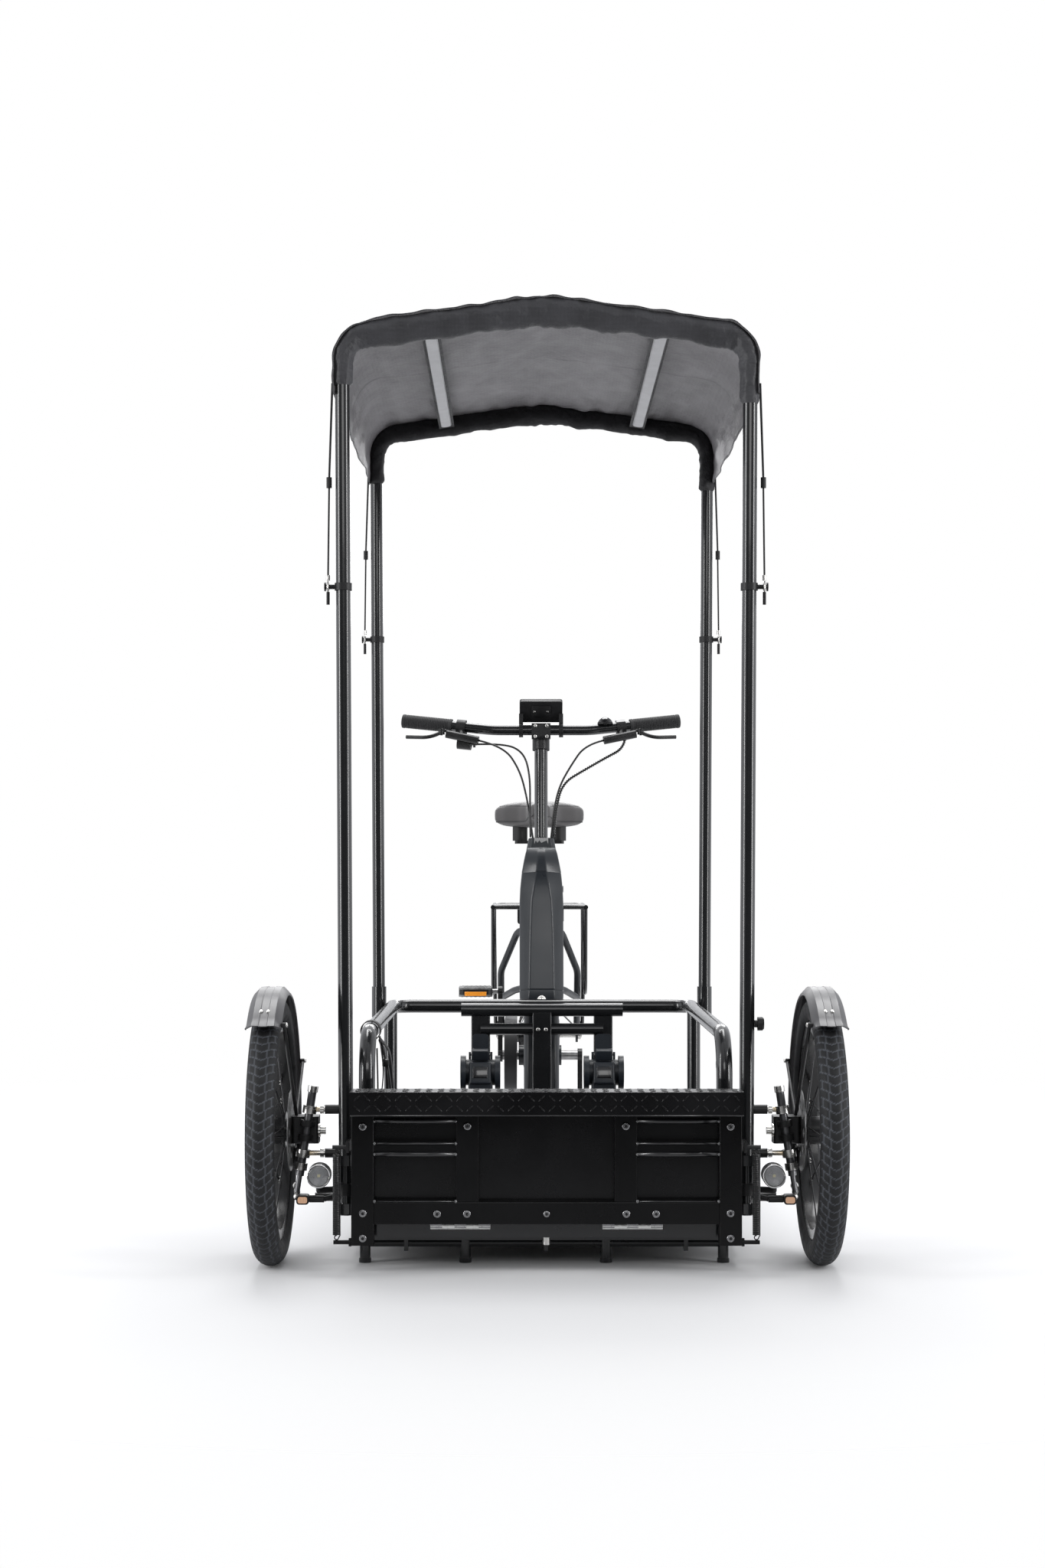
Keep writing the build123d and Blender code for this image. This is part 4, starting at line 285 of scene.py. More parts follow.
# ---------------------------------------------------------- painting the frame
def paint(name, base, *zones):
    """Materials of a CAD node: a base, then (material, test) by a face's place.

    A test gets the face centres' x, y and z in millimetres as arrays."""
    node = nodes[name]
    mesh = node.data
    mesh.materials.clear()
    mesh.materials.append(base)
    centres = np.zeros(len(mesh.polygons) * 3)
    mesh.polygons.foreach_get("center", centres)
    x, y, z = (centres.reshape(-1, 3) / MM).T
    index = np.zeros(len(mesh.polygons), np.int32)
    for number, (material, test) in enumerate(zones, 1):
        mesh.materials.append(material)
        index[test(x, y, z)] = number
    mesh.polygons.foreach_set("material_index", index)
    mesh.update()


def radius_from(a, b, a0, b0):
    """Distance of arrays a, b from a point."""
    return np.hypot(a - a0, b - b0)


FRONT_Y, FRONT_Z, FRONT_X = -1055.0, 258.0, 527.0
LAMP_X, LAMP_Y, LAMP_Z = 432.0, -1133.0, 179.0
REAR_Y, REAR_Z = 991.8, 300.0
BB_Y, BB_Z = 570.0, 277.0
KINGPIN_Y = -1064.0


def kingpin_x(z):
    """How far out the kingpin's axis is at a height."""
    return 449.0 + (333.0 - z) * 29.5 / 193.0


def from_kingpin(x, y, z):
    """Distance from the nearer kingpin's axis."""
    return radius_from(abs(x), y, kingpin_x(z), KINGPIN_Y)


def from_front(y, z):
    """Distance from the front axle."""
    return radius_from(y, z, FRONT_Y, FRONT_Z)


def from_rear(y, z):
    """Distance from the rear axle."""
    return radius_from(y, z, REAR_Y, REAR_Z)


for plain, finish in (("platform_floor", plate_paint),
                      ("canopy_poles", tube_paint), ("canopy_bows", tube_paint),
                      ("ramp_plates", plate_paint), ("parking_stand", frame_paint),
                      ("chain_case", black_plastic), ("drive_chain", dull_steel),
                      ("main_frame", slate_paint), ("rear_fender", fender_plastic),
                      ("steering_cables", cable_jacket), ("handlebar_bar", tube_paint),
                      ("brake_lever_left", dark_cast), ("brake_lever_right", dark_cast),
                      ("shift_lever", black_plastic), ("steering_rods", steel),
                      ("pole_knob", black_plastic), ("display_unit", black_plastic),
                      ("release_lever_left", unit_plastic), ("release_lever_right", unit_plastic),
                      ("pedal_left", black_plastic), ("pedal_right", black_plastic),
                      ("headlight_lenses", clear_lens)):
    paint(plain, finish)

paint("guard_rail", tube_paint,
      (frame_paint, lambda x, y, z: (y < -870) & (y > -960) & (abs(abs(x) - 350) < 5)))
paint("platform_frame", frame_paint)
paint("ramp_frame", ramp_paint)
paint("ramp_fasteners", screw_steel)
paint("frame_fasteners", steel,
      (black_plastic, lambda x, y, z: z > 1200),
      (dark_cast, lambda x, y, z: (abs(x) > 370) & (z < 400)),
      (slate_paint, lambda x, y, z: (z > 630) & (z < 680)))
paint("docking_frame", frame_paint,
      (grey_tube, lambda x, y, z: (abs(x) > 186) & (z > 400)))
paint("belt_retractors", unit_plastic,
      (steel, lambda x, y, z: (radius_from(y, z, -58, 327) < 4)),
      (dark_cast, lambda x, y, z: (abs(abs(abs(x) - 143) - 46.0) < 0.3) & (z > 250)))
paint("steering_column", slate_paint,
      (dull_steel, lambda x, y, z: (abs(x) < 21) & ((z > 826) | (z < 150))))
paint("steering_shaft", tube_paint, (dull_steel, lambda x, y, z: z < 120))
paint("stem", dark_cast, (steel, lambda x, y, z: (y < 214.0) & (abs(x) < 19) & (abs(x) > 9)))
paint("bar_controls", black_plastic,
      (gloss_plastic, lambda x, y, z: (x > 120) & (z > 1118)),
      (dark_cast, lambda x, y, z: (z < 1100) & (y < 235) & (abs(x) > 120)))
paint("lamp_housings", black_plastic,
      (steel, lambda x, y, z: (y < -1131) & (radius_from(abs(x), z, LAMP_X, LAMP_Z) < 23)))
paint("signal_lenses", amber_lens, (red_lens, lambda x, y, z: y > 0))
paint("kingpin_arms", dark_cast,
      (brass_steel, lambda x, y, z: (abs(x) > 425.5) & (z > 180)),
      (steel, lambda x, y, z: (abs(x) > 426) & (abs(x) < 435) & (z > 180)),
      (steel, lambda x, y, z: from_kingpin(x, y, z) < 14.5))
for side in ("left", "right"):
    paint(f"knuckle_{side}", dark_cast,
          (grey_tube, lambda x, y, z: from_kingpin(x, y, z) < 8.6),
          (steel, lambda x, y, z: z > 326),
          (steel, lambda x, y, z: (from_kingpin(x, y, z) < 12.6) & (z < 200) & (z > 180)),
          (steel, lambda x, y, z: (from_front(y, z) < 13.5) & (abs(x) < 438.5)),
          (steel, lambda x, y, z: z < 150),
          (rim_black, lambda x, y, z: abs(x) > 550))
    paint(f"front_{side}_wheel", rim_black,
          (spoke_metal, lambda x, y, z: (from_front(y, z) > 36) & (from_front(y, z) < 188.5)),
          (dull_steel, lambda x, y, z: (abs(x) < 492.3) & (from_front(y, z) < 80)))
paint("rear_wheel", rim_black,
      (spoke_metal, lambda x, y, z: (from_rear(y, z) > 45) & (from_rear(y, z) < 236.5)),
      (dull_steel, lambda x, y, z: x < -57))
paint("rear_frame", slate_paint, (steel, lambda x, y, z: from_rear(y, z) < 7.5))
paint("rear_rack", tube_paint, (dark_cast, lambda x, y, z: y > 1260))
paint("crankset", dark_cast,
      (dull_steel, lambda x, y, z: (abs(x) < 96) | (abs(x) > 109.5)))
paint("seat_post", dark_cast,
      (elastomer, lambda x, y, z: (radius_from(abs(x), y, 52, 839.3) < 20.5) & (z > 830)),
      (tube_paint, lambda x, y, z: z < 812))
paint("canopy_cords", cord_fabric,
      (black_plastic, lambda x, y, z: (z < 1511) & (z > 1487)),
      (steel, lambda x, y, z: (z < 1324) & (z > 1288)),
      (black_plastic, lambda x, y, z: z < 1290))


# --------------------------------------------------------------- mesh building
def put_in_scene(name, data):
    """New object of a mesh, curve, lamp or camera."""
    obj = bpy.data.objects.new(name, data)
    bpy.context.scene.collection.objects.link(obj)
    return obj


class Piece:
    """Vertices and faces of one piece, gathered part by part, in millimetres."""

    def __init__(self):
        self.verts, self.faces, self.marks, self.count = [], [], [], 0

    def add(self, verts, faces, mark=0):
        """Add one part; mark is the number of its material."""
        verts = np.asarray(verts, float).reshape(-1, 3)
        self.verts.append(verts)
        self.faces += [tuple(int(index) + self.count for index in face) for face in faces]
        self.marks += [mark] * len(faces)
        self.count += len(verts)
        return self

    def drop(self, count):
        """Take the last faces off again, to leave an end open."""
        self.faces, self.marks = self.faces[:-count], self.marks[:-count]

    def mirror(self):
        """Add the same parts on the other side of the centre plane."""
        verts = np.vstack(self.verts) * np.array([-1.0, 1.0, 1.0])
        faces, marks = list(self.faces), list(self.marks)
        self.verts.append(verts)
        self.faces += [tuple(index + self.count for index in reversed(face)) for face in faces]
        self.marks += marks
        self.count += len(verts)
        return self

    def make(self, name, body, materials, slot, stands_for=(), smooth=True, angle=None, values=None):
        """The Blender object, riding on its body."""
        mesh = bpy.data.meshes.new(name)
        mesh.from_pydata((np.vstack(self.verts) * MM).tolist(), [], self.faces)
        for material in materials:
            mesh.materials.append(material)
        mesh.polygons.foreach_set("material_index", self.marks)
        if smooth:
            mesh.shade_smooth()
        if angle:
            mesh.set_sharp_from_angle(angle=radians(angle))
        for key, numbers in (values or {}).items():
            mesh.attributes.new(key, "FLOAT", "POINT").data.foreach_set("value", numbers)
        mesh.update()
        obj = put_in_scene(name, mesh)
        if body:
            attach(obj, body)
        if stands_for:
            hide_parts(*stands_for)
        return obj


def grid_faces(rows, columns, wrap_rows=False, wrap_columns=False, start=0):
    """Quads of a grid of points, row by row."""
    faces = []
    for row in range(rows if wrap_rows else rows - 1):
        upper = (row + 1) % rows
        for column in range(columns if wrap_columns else columns - 1):
            beside = (column + 1) % columns
            faces.append((start + row * columns + column, start + row * columns + beside,
                          start + upper * columns + beside, start + upper * columns + column))
    return faces


def end_faces(rows, sides):
    """Flat ends of a tube of rings: its first and its last."""
    return [tuple(reversed(range(sides))), tuple((rows - 1) * sides + index for index in range(sides))]


def flipped(faces):
    """The same faces, looking the other way."""
    return [tuple(reversed(face)) for face in faces]


def running_length(points):
    """Length along a line at each of its points."""
    return np.concatenate([[0], np.cumsum(np.linalg.norm(np.diff(points, axis=0), axis=1))])


def frames_along(points):
    """Tangent and two cross directions at each point, turning as little as possible."""
    points = np.asarray(points, float)
    tangents = np.gradient(points, axis=0)
    tangents /= np.linalg.norm(tangents, axis=1)[:, None]
    guess = np.array([1.0, 0, 0]) if abs(tangents[0][0]) < 0.8 else np.array([0, 0, 1.0])
    first = guess - tangents[0] * (guess @ tangents[0])
    first /= np.linalg.norm(first)
    firsts = [first]
    for tangent in tangents[1:]:
        first = firsts[-1] - tangent * (firsts[-1] @ tangent)
        firsts.append(first / np.linalg.norm(first))
    firsts = np.array(firsts)
    return tangents, firsts, np.cross(tangents, firsts)


def sweep(points, section, across=None):
    """Section (a closed outline) carried along points; across fixes its first axis."""
    points = np.asarray(points, float)
    tangents, first, second = frames_along(points)
    if across is not None:
        fixed = np.asarray(across, float)
        first = fixed - tangents * (tangents @ fixed)[:, None]
        first /= np.linalg.norm(first, axis=1)[:, None]
        second = np.cross(tangents, first)
    section = np.asarray(section, float)
    verts = (points[:, None, :] + section[None, :, 0:1] * first[:, None, :]
             + section[None, :, 1:2] * second[:, None, :]).reshape(-1, 3)
    sides = len(section)
    faces = grid_faces(len(points), sides, wrap_columns=True)
    return verts, faces + end_faces(len(points), sides)


def circle(radius, sides=12):
    """Round outline."""
    turns = np.arange(sides) * 2 * pi / sides
    return np.column_stack([np.cos(turns), np.sin(turns)]) * radius


def strap_outline(width, thick):
    """Flat outline with rounded edges, for webbing."""
    half, edge = width / 2, thick / 2
    return [(-half, 0), (-half + edge, -edge), (half - edge, -edge), (half, 0), (half - edge, edge),
            (-half + edge, edge)]


def smooth_line(points, steps=10):
    """Points on a smooth curve through the given ones."""
    points = np.asarray(points, float)
    padded = np.vstack([2 * points[0] - points[1], points, 2 * points[-1] - points[-2]])
    line = []
    for index in range(1, len(padded) - 2):
        before, here, after, beyond = padded[index - 1:index + 3]
        for step in range(steps):
            t = step / steps
            line.append(0.5 * (2 * here + (after - before) * t
                               + (2 * before - 5 * here + 4 * after - beyond) * t * t
                               + (3 * here - before - 3 * after + beyond) * t ** 3))
    line.append(points[-1])
    return np.array(line)


POINTED = 0.01


def lathe(profile, origin, axis, sides=32):
    """Profile of (along, radius) points turned round an axis."""
    axis = Vector(axis).normalized()
    first = axis.orthogonal().normalized()
    second = axis.cross(first)
    turns = np.arange(sides) * 2 * pi / sides
    ring = np.cos(turns)[:, None] * np.array(first) + np.sin(turns)[:, None] * np.array(second)
    verts = np.vstack([np.array(origin) + np.array(axis) * along + ring * radius
                       for along, radius in profile])
    ends = end_faces(len(profile), sides)
    closed = [face for face, (_, radius) in zip(ends, (profile[0], profile[-1])) if radius > POINTED]
    return verts, grid_faces(len(profile), sides, wrap_columns=True) + closed


def soft_box(centre, size, edge, turn=None, segments=3):
    """Box with rounded edges, turned by a matrix."""
    shape = bmesh.new()
    bmesh.ops.create_cube(shape, size=1.0)
    bmesh.ops.scale(shape, vec=size, verts=shape.verts)
    bmesh.ops.bevel(shape, geom=list(shape.edges), offset=edge, segments=segments, profile=0.5,
                    affect="EDGES")
    if turn is not None:
        bmesh.ops.transform(shape, matrix=turn, verts=shape.verts)
    shape.verts.index_update()
    verts = [tuple(vert.co + Vector(centre)) for vert in shape.verts]
    faces = [tuple(vert.index for vert in face.verts) for face in shape.faces]
    shape.free()
    return verts, faces


def wobble(x, y, z=0.0, seed=0.0):
    """Smooth noise between about -1 and 1."""
    return noise.noise(Vector((x + seed * 17.3, y - seed * 9.1, z + seed * 5.7)))


def smooth_step(value):
    """0 to 1 with soft ends."""
    value = np.clip(value, 0.0, 1.0)
    return value * value * (3 - 2 * value)


# ---------------------------------------------------------------------- tyres
TREAD_PITCH = 17.4
TREAD_HALF = radians(70)
GROOVE_DEPTH = 1.7
CHEVRON, RAIL, OUTER = 0.055, 0.032, 0.035


def make_tyre(node, body, centre, radius, width):
    """Tyre with chevron grooves, two zigzag rails and a ribbed sidewall."""
    count = round(2 * pi * radius / TREAD_PITCH)
    steps, rows = count * 8, 53
    edge = acos(-0.72)
    turn, across = np.meshgrid(np.arange(steps) / steps * 2 * pi, np.linspace(-edge, edge, rows),
                               indexing="ij")
    share = np.abs(across) / TREAD_HALF
    phase = turn / (2 * pi) * count - 1.15 * share
    to_chevron = np.abs((phase + 0.5) % 1.0 - 0.5)
    chevron = smooth_step(1.5 - to_chevron / CHEVRON) * (share < 0.96)
    zigzag = 0.34 + 0.05 * np.where((phase % 2.0) < 1.0, 1.0, -1.0)
    rail = smooth_step(1.5 - np.abs(share - zigzag) / RAIL)
    odd = (np.floor(phase) % 2).astype(bool)
    outer = smooth_step(1.5 - np.abs(share - 0.72) / OUTER) * np.where(odd, 1.0, 0.0)
    groove = np.maximum(np.maximum(chevron, rail * 0.55), outer * 0.7)
    shoulder = smooth_step((share - 0.98) / 0.05)
    groove *= 1 - shoulder
    ribs = 0.35 * np.cos((np.abs(across) - 1.5) * 60.0) * smooth_step((share - 1.15) / 0.1)
    minor = width / 2
    level = minor - 0.4 - groove * GROOVE_DEPTH - shoulder * 1.1 + ribs * (share < 1.75)
    level = np.where(share < 0.98, level + 0.4, level)
    out = radius - minor + level * np.cos(across)
    x, y, z = centre
    verts = np.stack([x + level * np.sin(across), y + out * np.sin(turn), z + out * np.cos(turn)], -1)
    piece = Piece().add(verts.reshape(-1, 3), grid_faces(steps, rows, wrap_rows=True))
    bead, bead_radius = minor * sin(edge), radius - 0.86 * width
    inner = [(-bead, bead_radius), (bead, bead_radius)]
    piece.add(*lathe(inner, (x, y, z), (1, 0, 0), 96))
    piece.drop(2)
    values = np.concatenate([groove.ravel(), np.zeros(piece.count - groove.size)])
    piece.make(node + "_rubber", body, [tyre_rubber], "tyre", [node], values={"groove": values})


WHEELS = [("front_left", "wheel_front_left", (FRONT_X, FRONT_Y, FRONT_Z), 258.0, 57.0, 190.0, 28),
          ("front_right", "wheel_front_right", (-FRONT_X, FRONT_Y, FRONT_Z), 258.0, 57.0, 190.0, 28),
          ("rear", "wheel_rear", (0, REAR_Y, REAR_Z), 300.0, 50.0, 238.0, 32)]
for place, wheel, hub, radius, width, _, _ in WHEELS:
    make_tyre(f"{place}_tyre", wheel, hub, radius, width)


def make_rim_fittings(name, body, centre, inner, spokes):
    """Spoke nipples and the valve, inside a rim."""
    x, y, z = centre
    piece = Piece()
    nipple = [(0, 2.6), (3, 2.6), (5, 1.9), (13, 1.9), (13.5, 1.3)]
    valve = [(0, 5), (2, 5), (2.2, 3), (22, 3), (23, 4.2), (34, 4.2), (35, 3.4)]
    for number in range(spokes + 1):
        lean = radians(14) * (1 if number % 4 < 2 else -1)
        turn = 2 * pi * number / spokes + lean if number < spokes else pi / spokes * 0.5
        out = Vector((0, sin(turn), cos(turn)))
        foot = Vector((x, y, z)) + out * (inner + 0.5)
        profile, sides, mark = (nipple, 8, 0) if number < spokes else (valve, 16, 1)
        piece.add(*lathe(profile, foot, -out, sides), mark=mark)
    piece.make(name, body, [steel, black_plastic], "steel", angle=40)


for place, wheel, hub, _, _, rim, spokes in WHEELS:
    make_rim_fittings(f"{place}_nipples", wheel, hub, rim, spokes)


# -------------------------------------------------------------------- fenders
def make_fender(side, body, node):
    """Front mudguard with a ridged crown, rolled edges, a flared lip and its stays."""
    radius, half, thick = 277.0, 33.0, 2.2
    rear, front = -96.0, 41.0
    stations = 90
    outline = [(-33, -15.5), (-31.5, -12.5), (-22, -2.4), (-20.5, -0.9), (-18.5, -0.9), (-8, -0.2),
               (-7, -1.2), (0, -1.4), (7, -1.2), (8, -0.2), (18.5, -0.9), (20.5, -0.9), (22, -2.4),
               (31.5, -12.5), (33, -15.5)]
    inner = np.array(outline)[::-1] * np.array([0.94, 1.0]) - np.array([0, thick])
    loop = np.vstack([outline, inner])
    verts = []
    for angle in np.linspace(rear, front, stations):
        flare = 5.0 * smooth_step((angle - front + 5.0) / 5.0)
        spread = 1.0 + 0.05 * smooth_step((angle - front + 6.0) / 6.0)
        turn = radians(angle)
        corner = 0.0
        for across, level in loop:
            if angle > front - 1:
                corner = 9.0 * (abs(across) / half) ** 4 / radius
            spot = turn - corner
            out = radius + level + flare
            verts.append((side * (FRONT_X + across * spread), FRONT_Y - out * sin(spot),
                          FRONT_Z + out * cos(spot)))
    size = len(loop)
    faces = grid_faces(stations, size, wrap_columns=True)
    for index in range(len(outline) - 1):
        back = size - 1 - index
        faces.append((index, index + 1, back - 1, back))
        last = (stations - 1) * size
        faces.append((last + back, last + back - 1, last + index + 1, last + index))
    piece = Piece().add(verts, faces)
    lug = Vector((side * 481.5, FRONT_Y + 6, 288.0))
    stay_out = 262
    for angle in (36, -64):
        turn = radians(angle)
        spot = Vector((side * 489.5, FRONT_Y - stay_out * sin(turn),
                       FRONT_Z + stay_out * cos(turn)))
        piece.add(*sweep([spot, spot.lerp(lug, 0.5), lug], circle(3.5, 14)), mark=1)
        piece.add(*soft_box((side * 490.0, spot.y, spot.z), (9, 18, 9), 1.5), mark=1)
        piece.add(*lathe([(0, 4.5), (2.4, 4.2), (3.4, 2.5)], (side * 486, spot.y, spot.z),
                         (-side, 0, 0), 16), mark=2)
    for across in (-6.5, 6.5):
        turn = radians(31)
        out = radius - 1.2
        spot = (side * FRONT_X + across, FRONT_Y - out * sin(turn), FRONT_Z + out * cos(turn))
        piece.add(*lathe([(0, 4.4), (1.4, 4.2), (2.6, 2.6), (2.9, 0.0)], spot,
                         (0, -sin(turn), cos(turn)), 16), mark=2)
    piece.make(f"{node}_guard", body, [fender_plastic, dark_cast, steel], "fender_grey", [node], angle=28)


make_fender(1, "knuckle_left", "fender_left")
make_fender(-1, "knuckle_right", "fender_right")


# -------------------------------------------------------------------- springs
SPRING_X, SPRING_Y, SPRING_LOW, SPRING_HIGH = 396.0, -1152.0, 61.3, 232.0


def make_spring(side, name):
    """Close-wound extension spring with a hook at each end."""
    x, y, low, high = side * SPRING_X, SPRING_Y, SPRING_LOW, SPRING_HIGH
    hook, eye, coil_r, thread = 9.0, 4.0, 6.6, 1.15
    turns, per_turn = 62, 14
    steps = turns * per_turn
    count = np.arange(steps + 1)
    spin = count / per_turn * 2 * pi
    body = np.column_stack([x + coil_r * np.cos(spin), y + coil_r * np.sin(spin),
                            low + hook + (high - low - 2 * hook) * count / steps])
    piece = Piece().add(*sweep(body, circle(thread, 7)))
    for end, way in ((low + hook, -1), (high - hook, 1)):
        arc = [(x + coil_r, y, end)]
        for angle in np.linspace(0, 1.55 * pi, 14):
            arc.append((x + eye * cos(angle), y, end + way * (hook / 2 + eye * sin(angle))))
        piece.add(*sweep(arc, circle(thread, 7)))
    spring = piece.make(name, None, [spring_steel], "steel", ["ramp_springs"])
    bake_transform(spring)


make_spring(1, "ramp_spring_left")
make_spring(-1, "ramp_spring_right")

# --------------------------------------------------------------------- canopy
POLE_TOP_X, APEX_Z, SLOPE = 390.0, 1840.0, radians(8.0)
FRONT_BOW, REAR_BOW = -1090.0, 10.0
CLOTH_OUT, CLOTH_HALF, CLOTH_HEM, CLOTH_FOOT = 15.6, 1.2, 16.0, 1668.0
SEAM_Y = -560.0
SLAT_X, SLAT_START, SLAT_END = 223.0, -1066.0, -58.0


def roof_line(offset, low_left, low_right, step=6.0):
    """Points and outward normals of the canopy's section, from right side to left side."""
    eave = POLE_TOP_X + offset
    lift = offset / cos(SLOPE)
    eave_z = APEX_Z + lift - eave * tan(SLOPE)
    corners = [Vector((-eave, low_left)), Vector((-eave, eave_z)), Vector((0, APEX_Z + lift)),
               Vector((eave, eave_z)), Vector((eave, low_right))]
    radii = [60 + offset, 160 + offset, 60 + offset]
    line = [corners[0]]
    for index, radius in enumerate(radii, 1):
        before = (corners[index - 1] - corners[index]).normalized()
        after = (corners[index + 1] - corners[index]).normalized()
        half = before.angle(after) / 2
        reach = radius / tan(half)
        centre = corners[index] + (before + after).normalized() * (radius / sin(half))
        start, end = corners[index] + before * reach, corners[index] + after * reach
        first, last = start - centre, end - centre
        sweep_angle = first.angle(last)
        steps = max(4, int(radius * sweep_angle / step))
        for number in range(steps + 1):
            part = number / steps
            line.append(centre + (first * sin((1 - part) * sweep_angle)
                                  + last * sin(part * sweep_angle)) / sin(sweep_angle))
    line.append(corners[-1])
    dense = [line[0]]
    for before, after in zip(line, line[1:]):
        pieces = max(1, int((after - before).length / step))
        dense += [before.lerp(after, number / pieces) for number in range(1, pieces + 1)]
    points = np.array([tuple(point) for point in dense])
    tangents = np.gradient(points, axis=0)
    tangents /= np.linalg.norm(tangents, axis=1)[:, None]
    return points, np.column_stack([-tangents[:, 1], tangents[:, 0]])


def make_cover():
    """One sheet of cloth over both hoops, charcoal outside and lighter inside."""
    line, normals = roof_line(CLOTH_OUT, CLOTH_FOOT, CLOTH_FOOT)
    across = len(line)
    depths = 150
    length = running_length(line)
    front, rear = FRONT_BOW - CLOTH_HEM, REAR_BOW + CLOTH_HEM
    outer, inner, seam = [], [], []
    for row in range(depths):
        share = row / (depths - 1)
        y = front + (rear - front) * share
        near = min(abs(y - FRONT_BOW), abs(y - REAR_BOW))
        for column in range(across):
            point, normal = line[column], normals[column]
            s = length[column]
            from_apex = abs(point[0])
            top = max(0.0, normal[1])
            sag = -3.5 * sin(pi * share) * top
            gather = 5.5 * exp(-near / 120.0) * wobble(s / 26.0, y / 170.0, seed=1)
            ridge = 5.0 * exp(-from_apex / 110.0) * wobble(s / 30.0 + y / 150.0, y / 120.0, seed=2)
            drift = 5.0 * wobble(s / 150.0, y / 190.0, seed=3) + 2.2 * wobble(s / 52.0, y / 80.0, seed=4)
            fan = (s - length[-1] / 2) * (1.0 + 0.9 * share)
            pull = 4.5 * wobble(fan / 44.0, y / 420.0, seed=5) * (0.35 + 0.65 * exp(-near / 220.0))
            stitch = -0.9 * exp(-((y - SEAM_Y) / 5.0) ** 2)
            shift = sag + (gather + ridge + drift + pull) * min(1.0, near / 22.0) + stitch
            shift = min(max(shift, -14.0), 7.0)
            for layer, way in ((outer, CLOTH_HALF), (inner, -CLOTH_HALF)):
                layer.append((point[0] + normal[0] * (shift + way), y,
                              point[1] + normal[1] * (shift + way)))
            mark = exp(-((y - SEAM_Y + 6 * wobble(s / 120.0, 0, seed=7)) / 2.6) ** 2)
            seam.append(0.75 * mark)
    piece = Piece()
    piece.add(outer, flipped(grid_faces(depths, across)), 0)
    piece.add(inner, grid_faces(depths, across), 1)
    total = depths * across
    rim = [row * across for row in range(depths)]
    rim += [(depths - 1) * across + column for column in range(1, across)]
    rim += [row * across + across - 1 for row in range(depths - 2, -1, -1)]
    rim += [column for column in range(across - 2, 0, -1)]
    for here, after in zip(rim, rim[1:] + rim[:1]):
        piece.faces.append((here, after, after + total, here + total))
        piece.marks.append(0)
    values = {"seam": np.array(seam + seam)}
    cover = piece.make("canopy_cloth", "chassis", [canopy_outer, canopy_lining], "canopy_cloth",
                       ["canopy_cover"], values=values)
    return cover, length[-1], rear - front


def make_sleeve(name, bow_y, inward, low_left, low_right, material, slack):
    """Hem of the cover, folded round a hoop, gathered and hanging a little below it."""
    line, normals = roof_line(0.0, low_left, low_right, 5.0)
    length = running_length(line)
    sides = 30
    verts = []
    for column, (point, normal) in enumerate(zip(line, normals)):
        s = length[column]
        roof = max(0.0, normal[1])
        apex = exp(-(point[0] / 70.0) ** 2)
        bunch = slack * (0.25 + 0.75 * roof) * (1 + 0.35 * wobble(s / 55.0, 0.3, seed=11)) + 5.0 * apex
        end = min(s, length[-1] - s)
        for number in range(sides):
            turn = 2 * pi * number / sides
            out, along = cos(turn), sin(turn)
            tail = max(0.0, -out * 0.82 + along * inward * 0.57)
            level = CLOTH_OUT + CLOTH_HALF * max(0.0, out) + bunch * tail ** 3.2
            folds = 2.6 * wobble(s / 16.0 + 0.8 * turn, turn * 0.9, bow_y / 100, seed=12)
            folds += 2.6 * wobble(s / 38.0 + turn, turn * 1.5, bow_y / 100, seed=13)
            folds += 4.0 * exp(-abs(point[0]) / 90.0) * wobble(s / 12.0, turn * 0.7, seed=14)
            corner = exp(-((abs(point[0]) - 375.0) / 40.0) ** 2)
            folds += 2.4 * corner * wobble(s / 8.0, turn * 0.8, seed=15)
            level += max(-0.9, folds * (0.45 + 0.55 * min(1.0, end / 60.0)))
            if column in (0, len(line) - 1):
                level = 14.4
            verts.append((point[0] + normal[0] * out * level, bow_y + along * level,
                          point[1] + normal[1] * out * level))
    piece = Piece().add(verts, grid_faces(len(line), sides, wrap_columns=True))
    return piece.make(name, "chassis", [material], "canopy_cloth")


cover, cover_width, cover_length = make_cover()
front_sleeve = make_sleeve("canopy_front_sleeve", FRONT_BOW, 1, 1685.0, 1650.0, canopy_outer, 21.0)
rear_sleeve = make_sleeve("canopy_rear_sleeve", REAR_BOW, -1, 1668.0, 1650.0, canopy_rear, 17.0)


def make_battens():
    """Two pale slats with rounded ends, under the cloth from hoop to hoop, with a dark strip over each as
    painted shade.
    """
    piece = Piece()
    for side in (-1, 1):
        ring = []
        half, radius = 12.0, 11.5
        for angle in np.linspace(pi, 2 * pi, 10):
            ring.append((half * cos(angle), SLAT_START + radius + radius * sin(angle)))
        for angle in np.linspace(0, pi, 10):
            ring.append((half * cos(angle), SLAT_END - radius + radius * sin(angle)))
        verts, layers = [], ((0.92, 0.0), (1.0, -1.0), (1.0, -3.6), (0.9, -5.0))
        for scale, level in layers:
            for across, y in ring:
                x = side * SLAT_X + across * scale
                z = APEX_Z - tan(SLOPE) * abs(x) - 14.5 + level
                verts.append((x, y, z))
        size = len(ring)
        faces = flipped(grid_faces(len(layers), size, wrap_columns=True))
        piece.add(verts, faces + end_faces(len(layers), size))
        # Painted shade: a wider dark cloth strip between slat and cover, showing as a shadow band beside the
        # slat.
        z = APEX_Z - tan(SLOPE) * SLAT_X - 13.2
        line = [(side * SLAT_X, y, z) for y in np.linspace(SLAT_START, -6.0, 24)]
        slope = (cos(SLOPE), 0, -side * sin(SLOPE))
        piece.add(*sweep(line, strap_outline(36, 1.6), across=slope), mark=1)
    piece.make("canopy_slats", "chassis", [batten_plastic, canopy_rear], "batten_grey",
               ["canopy_battens"], angle=40)


make_battens()


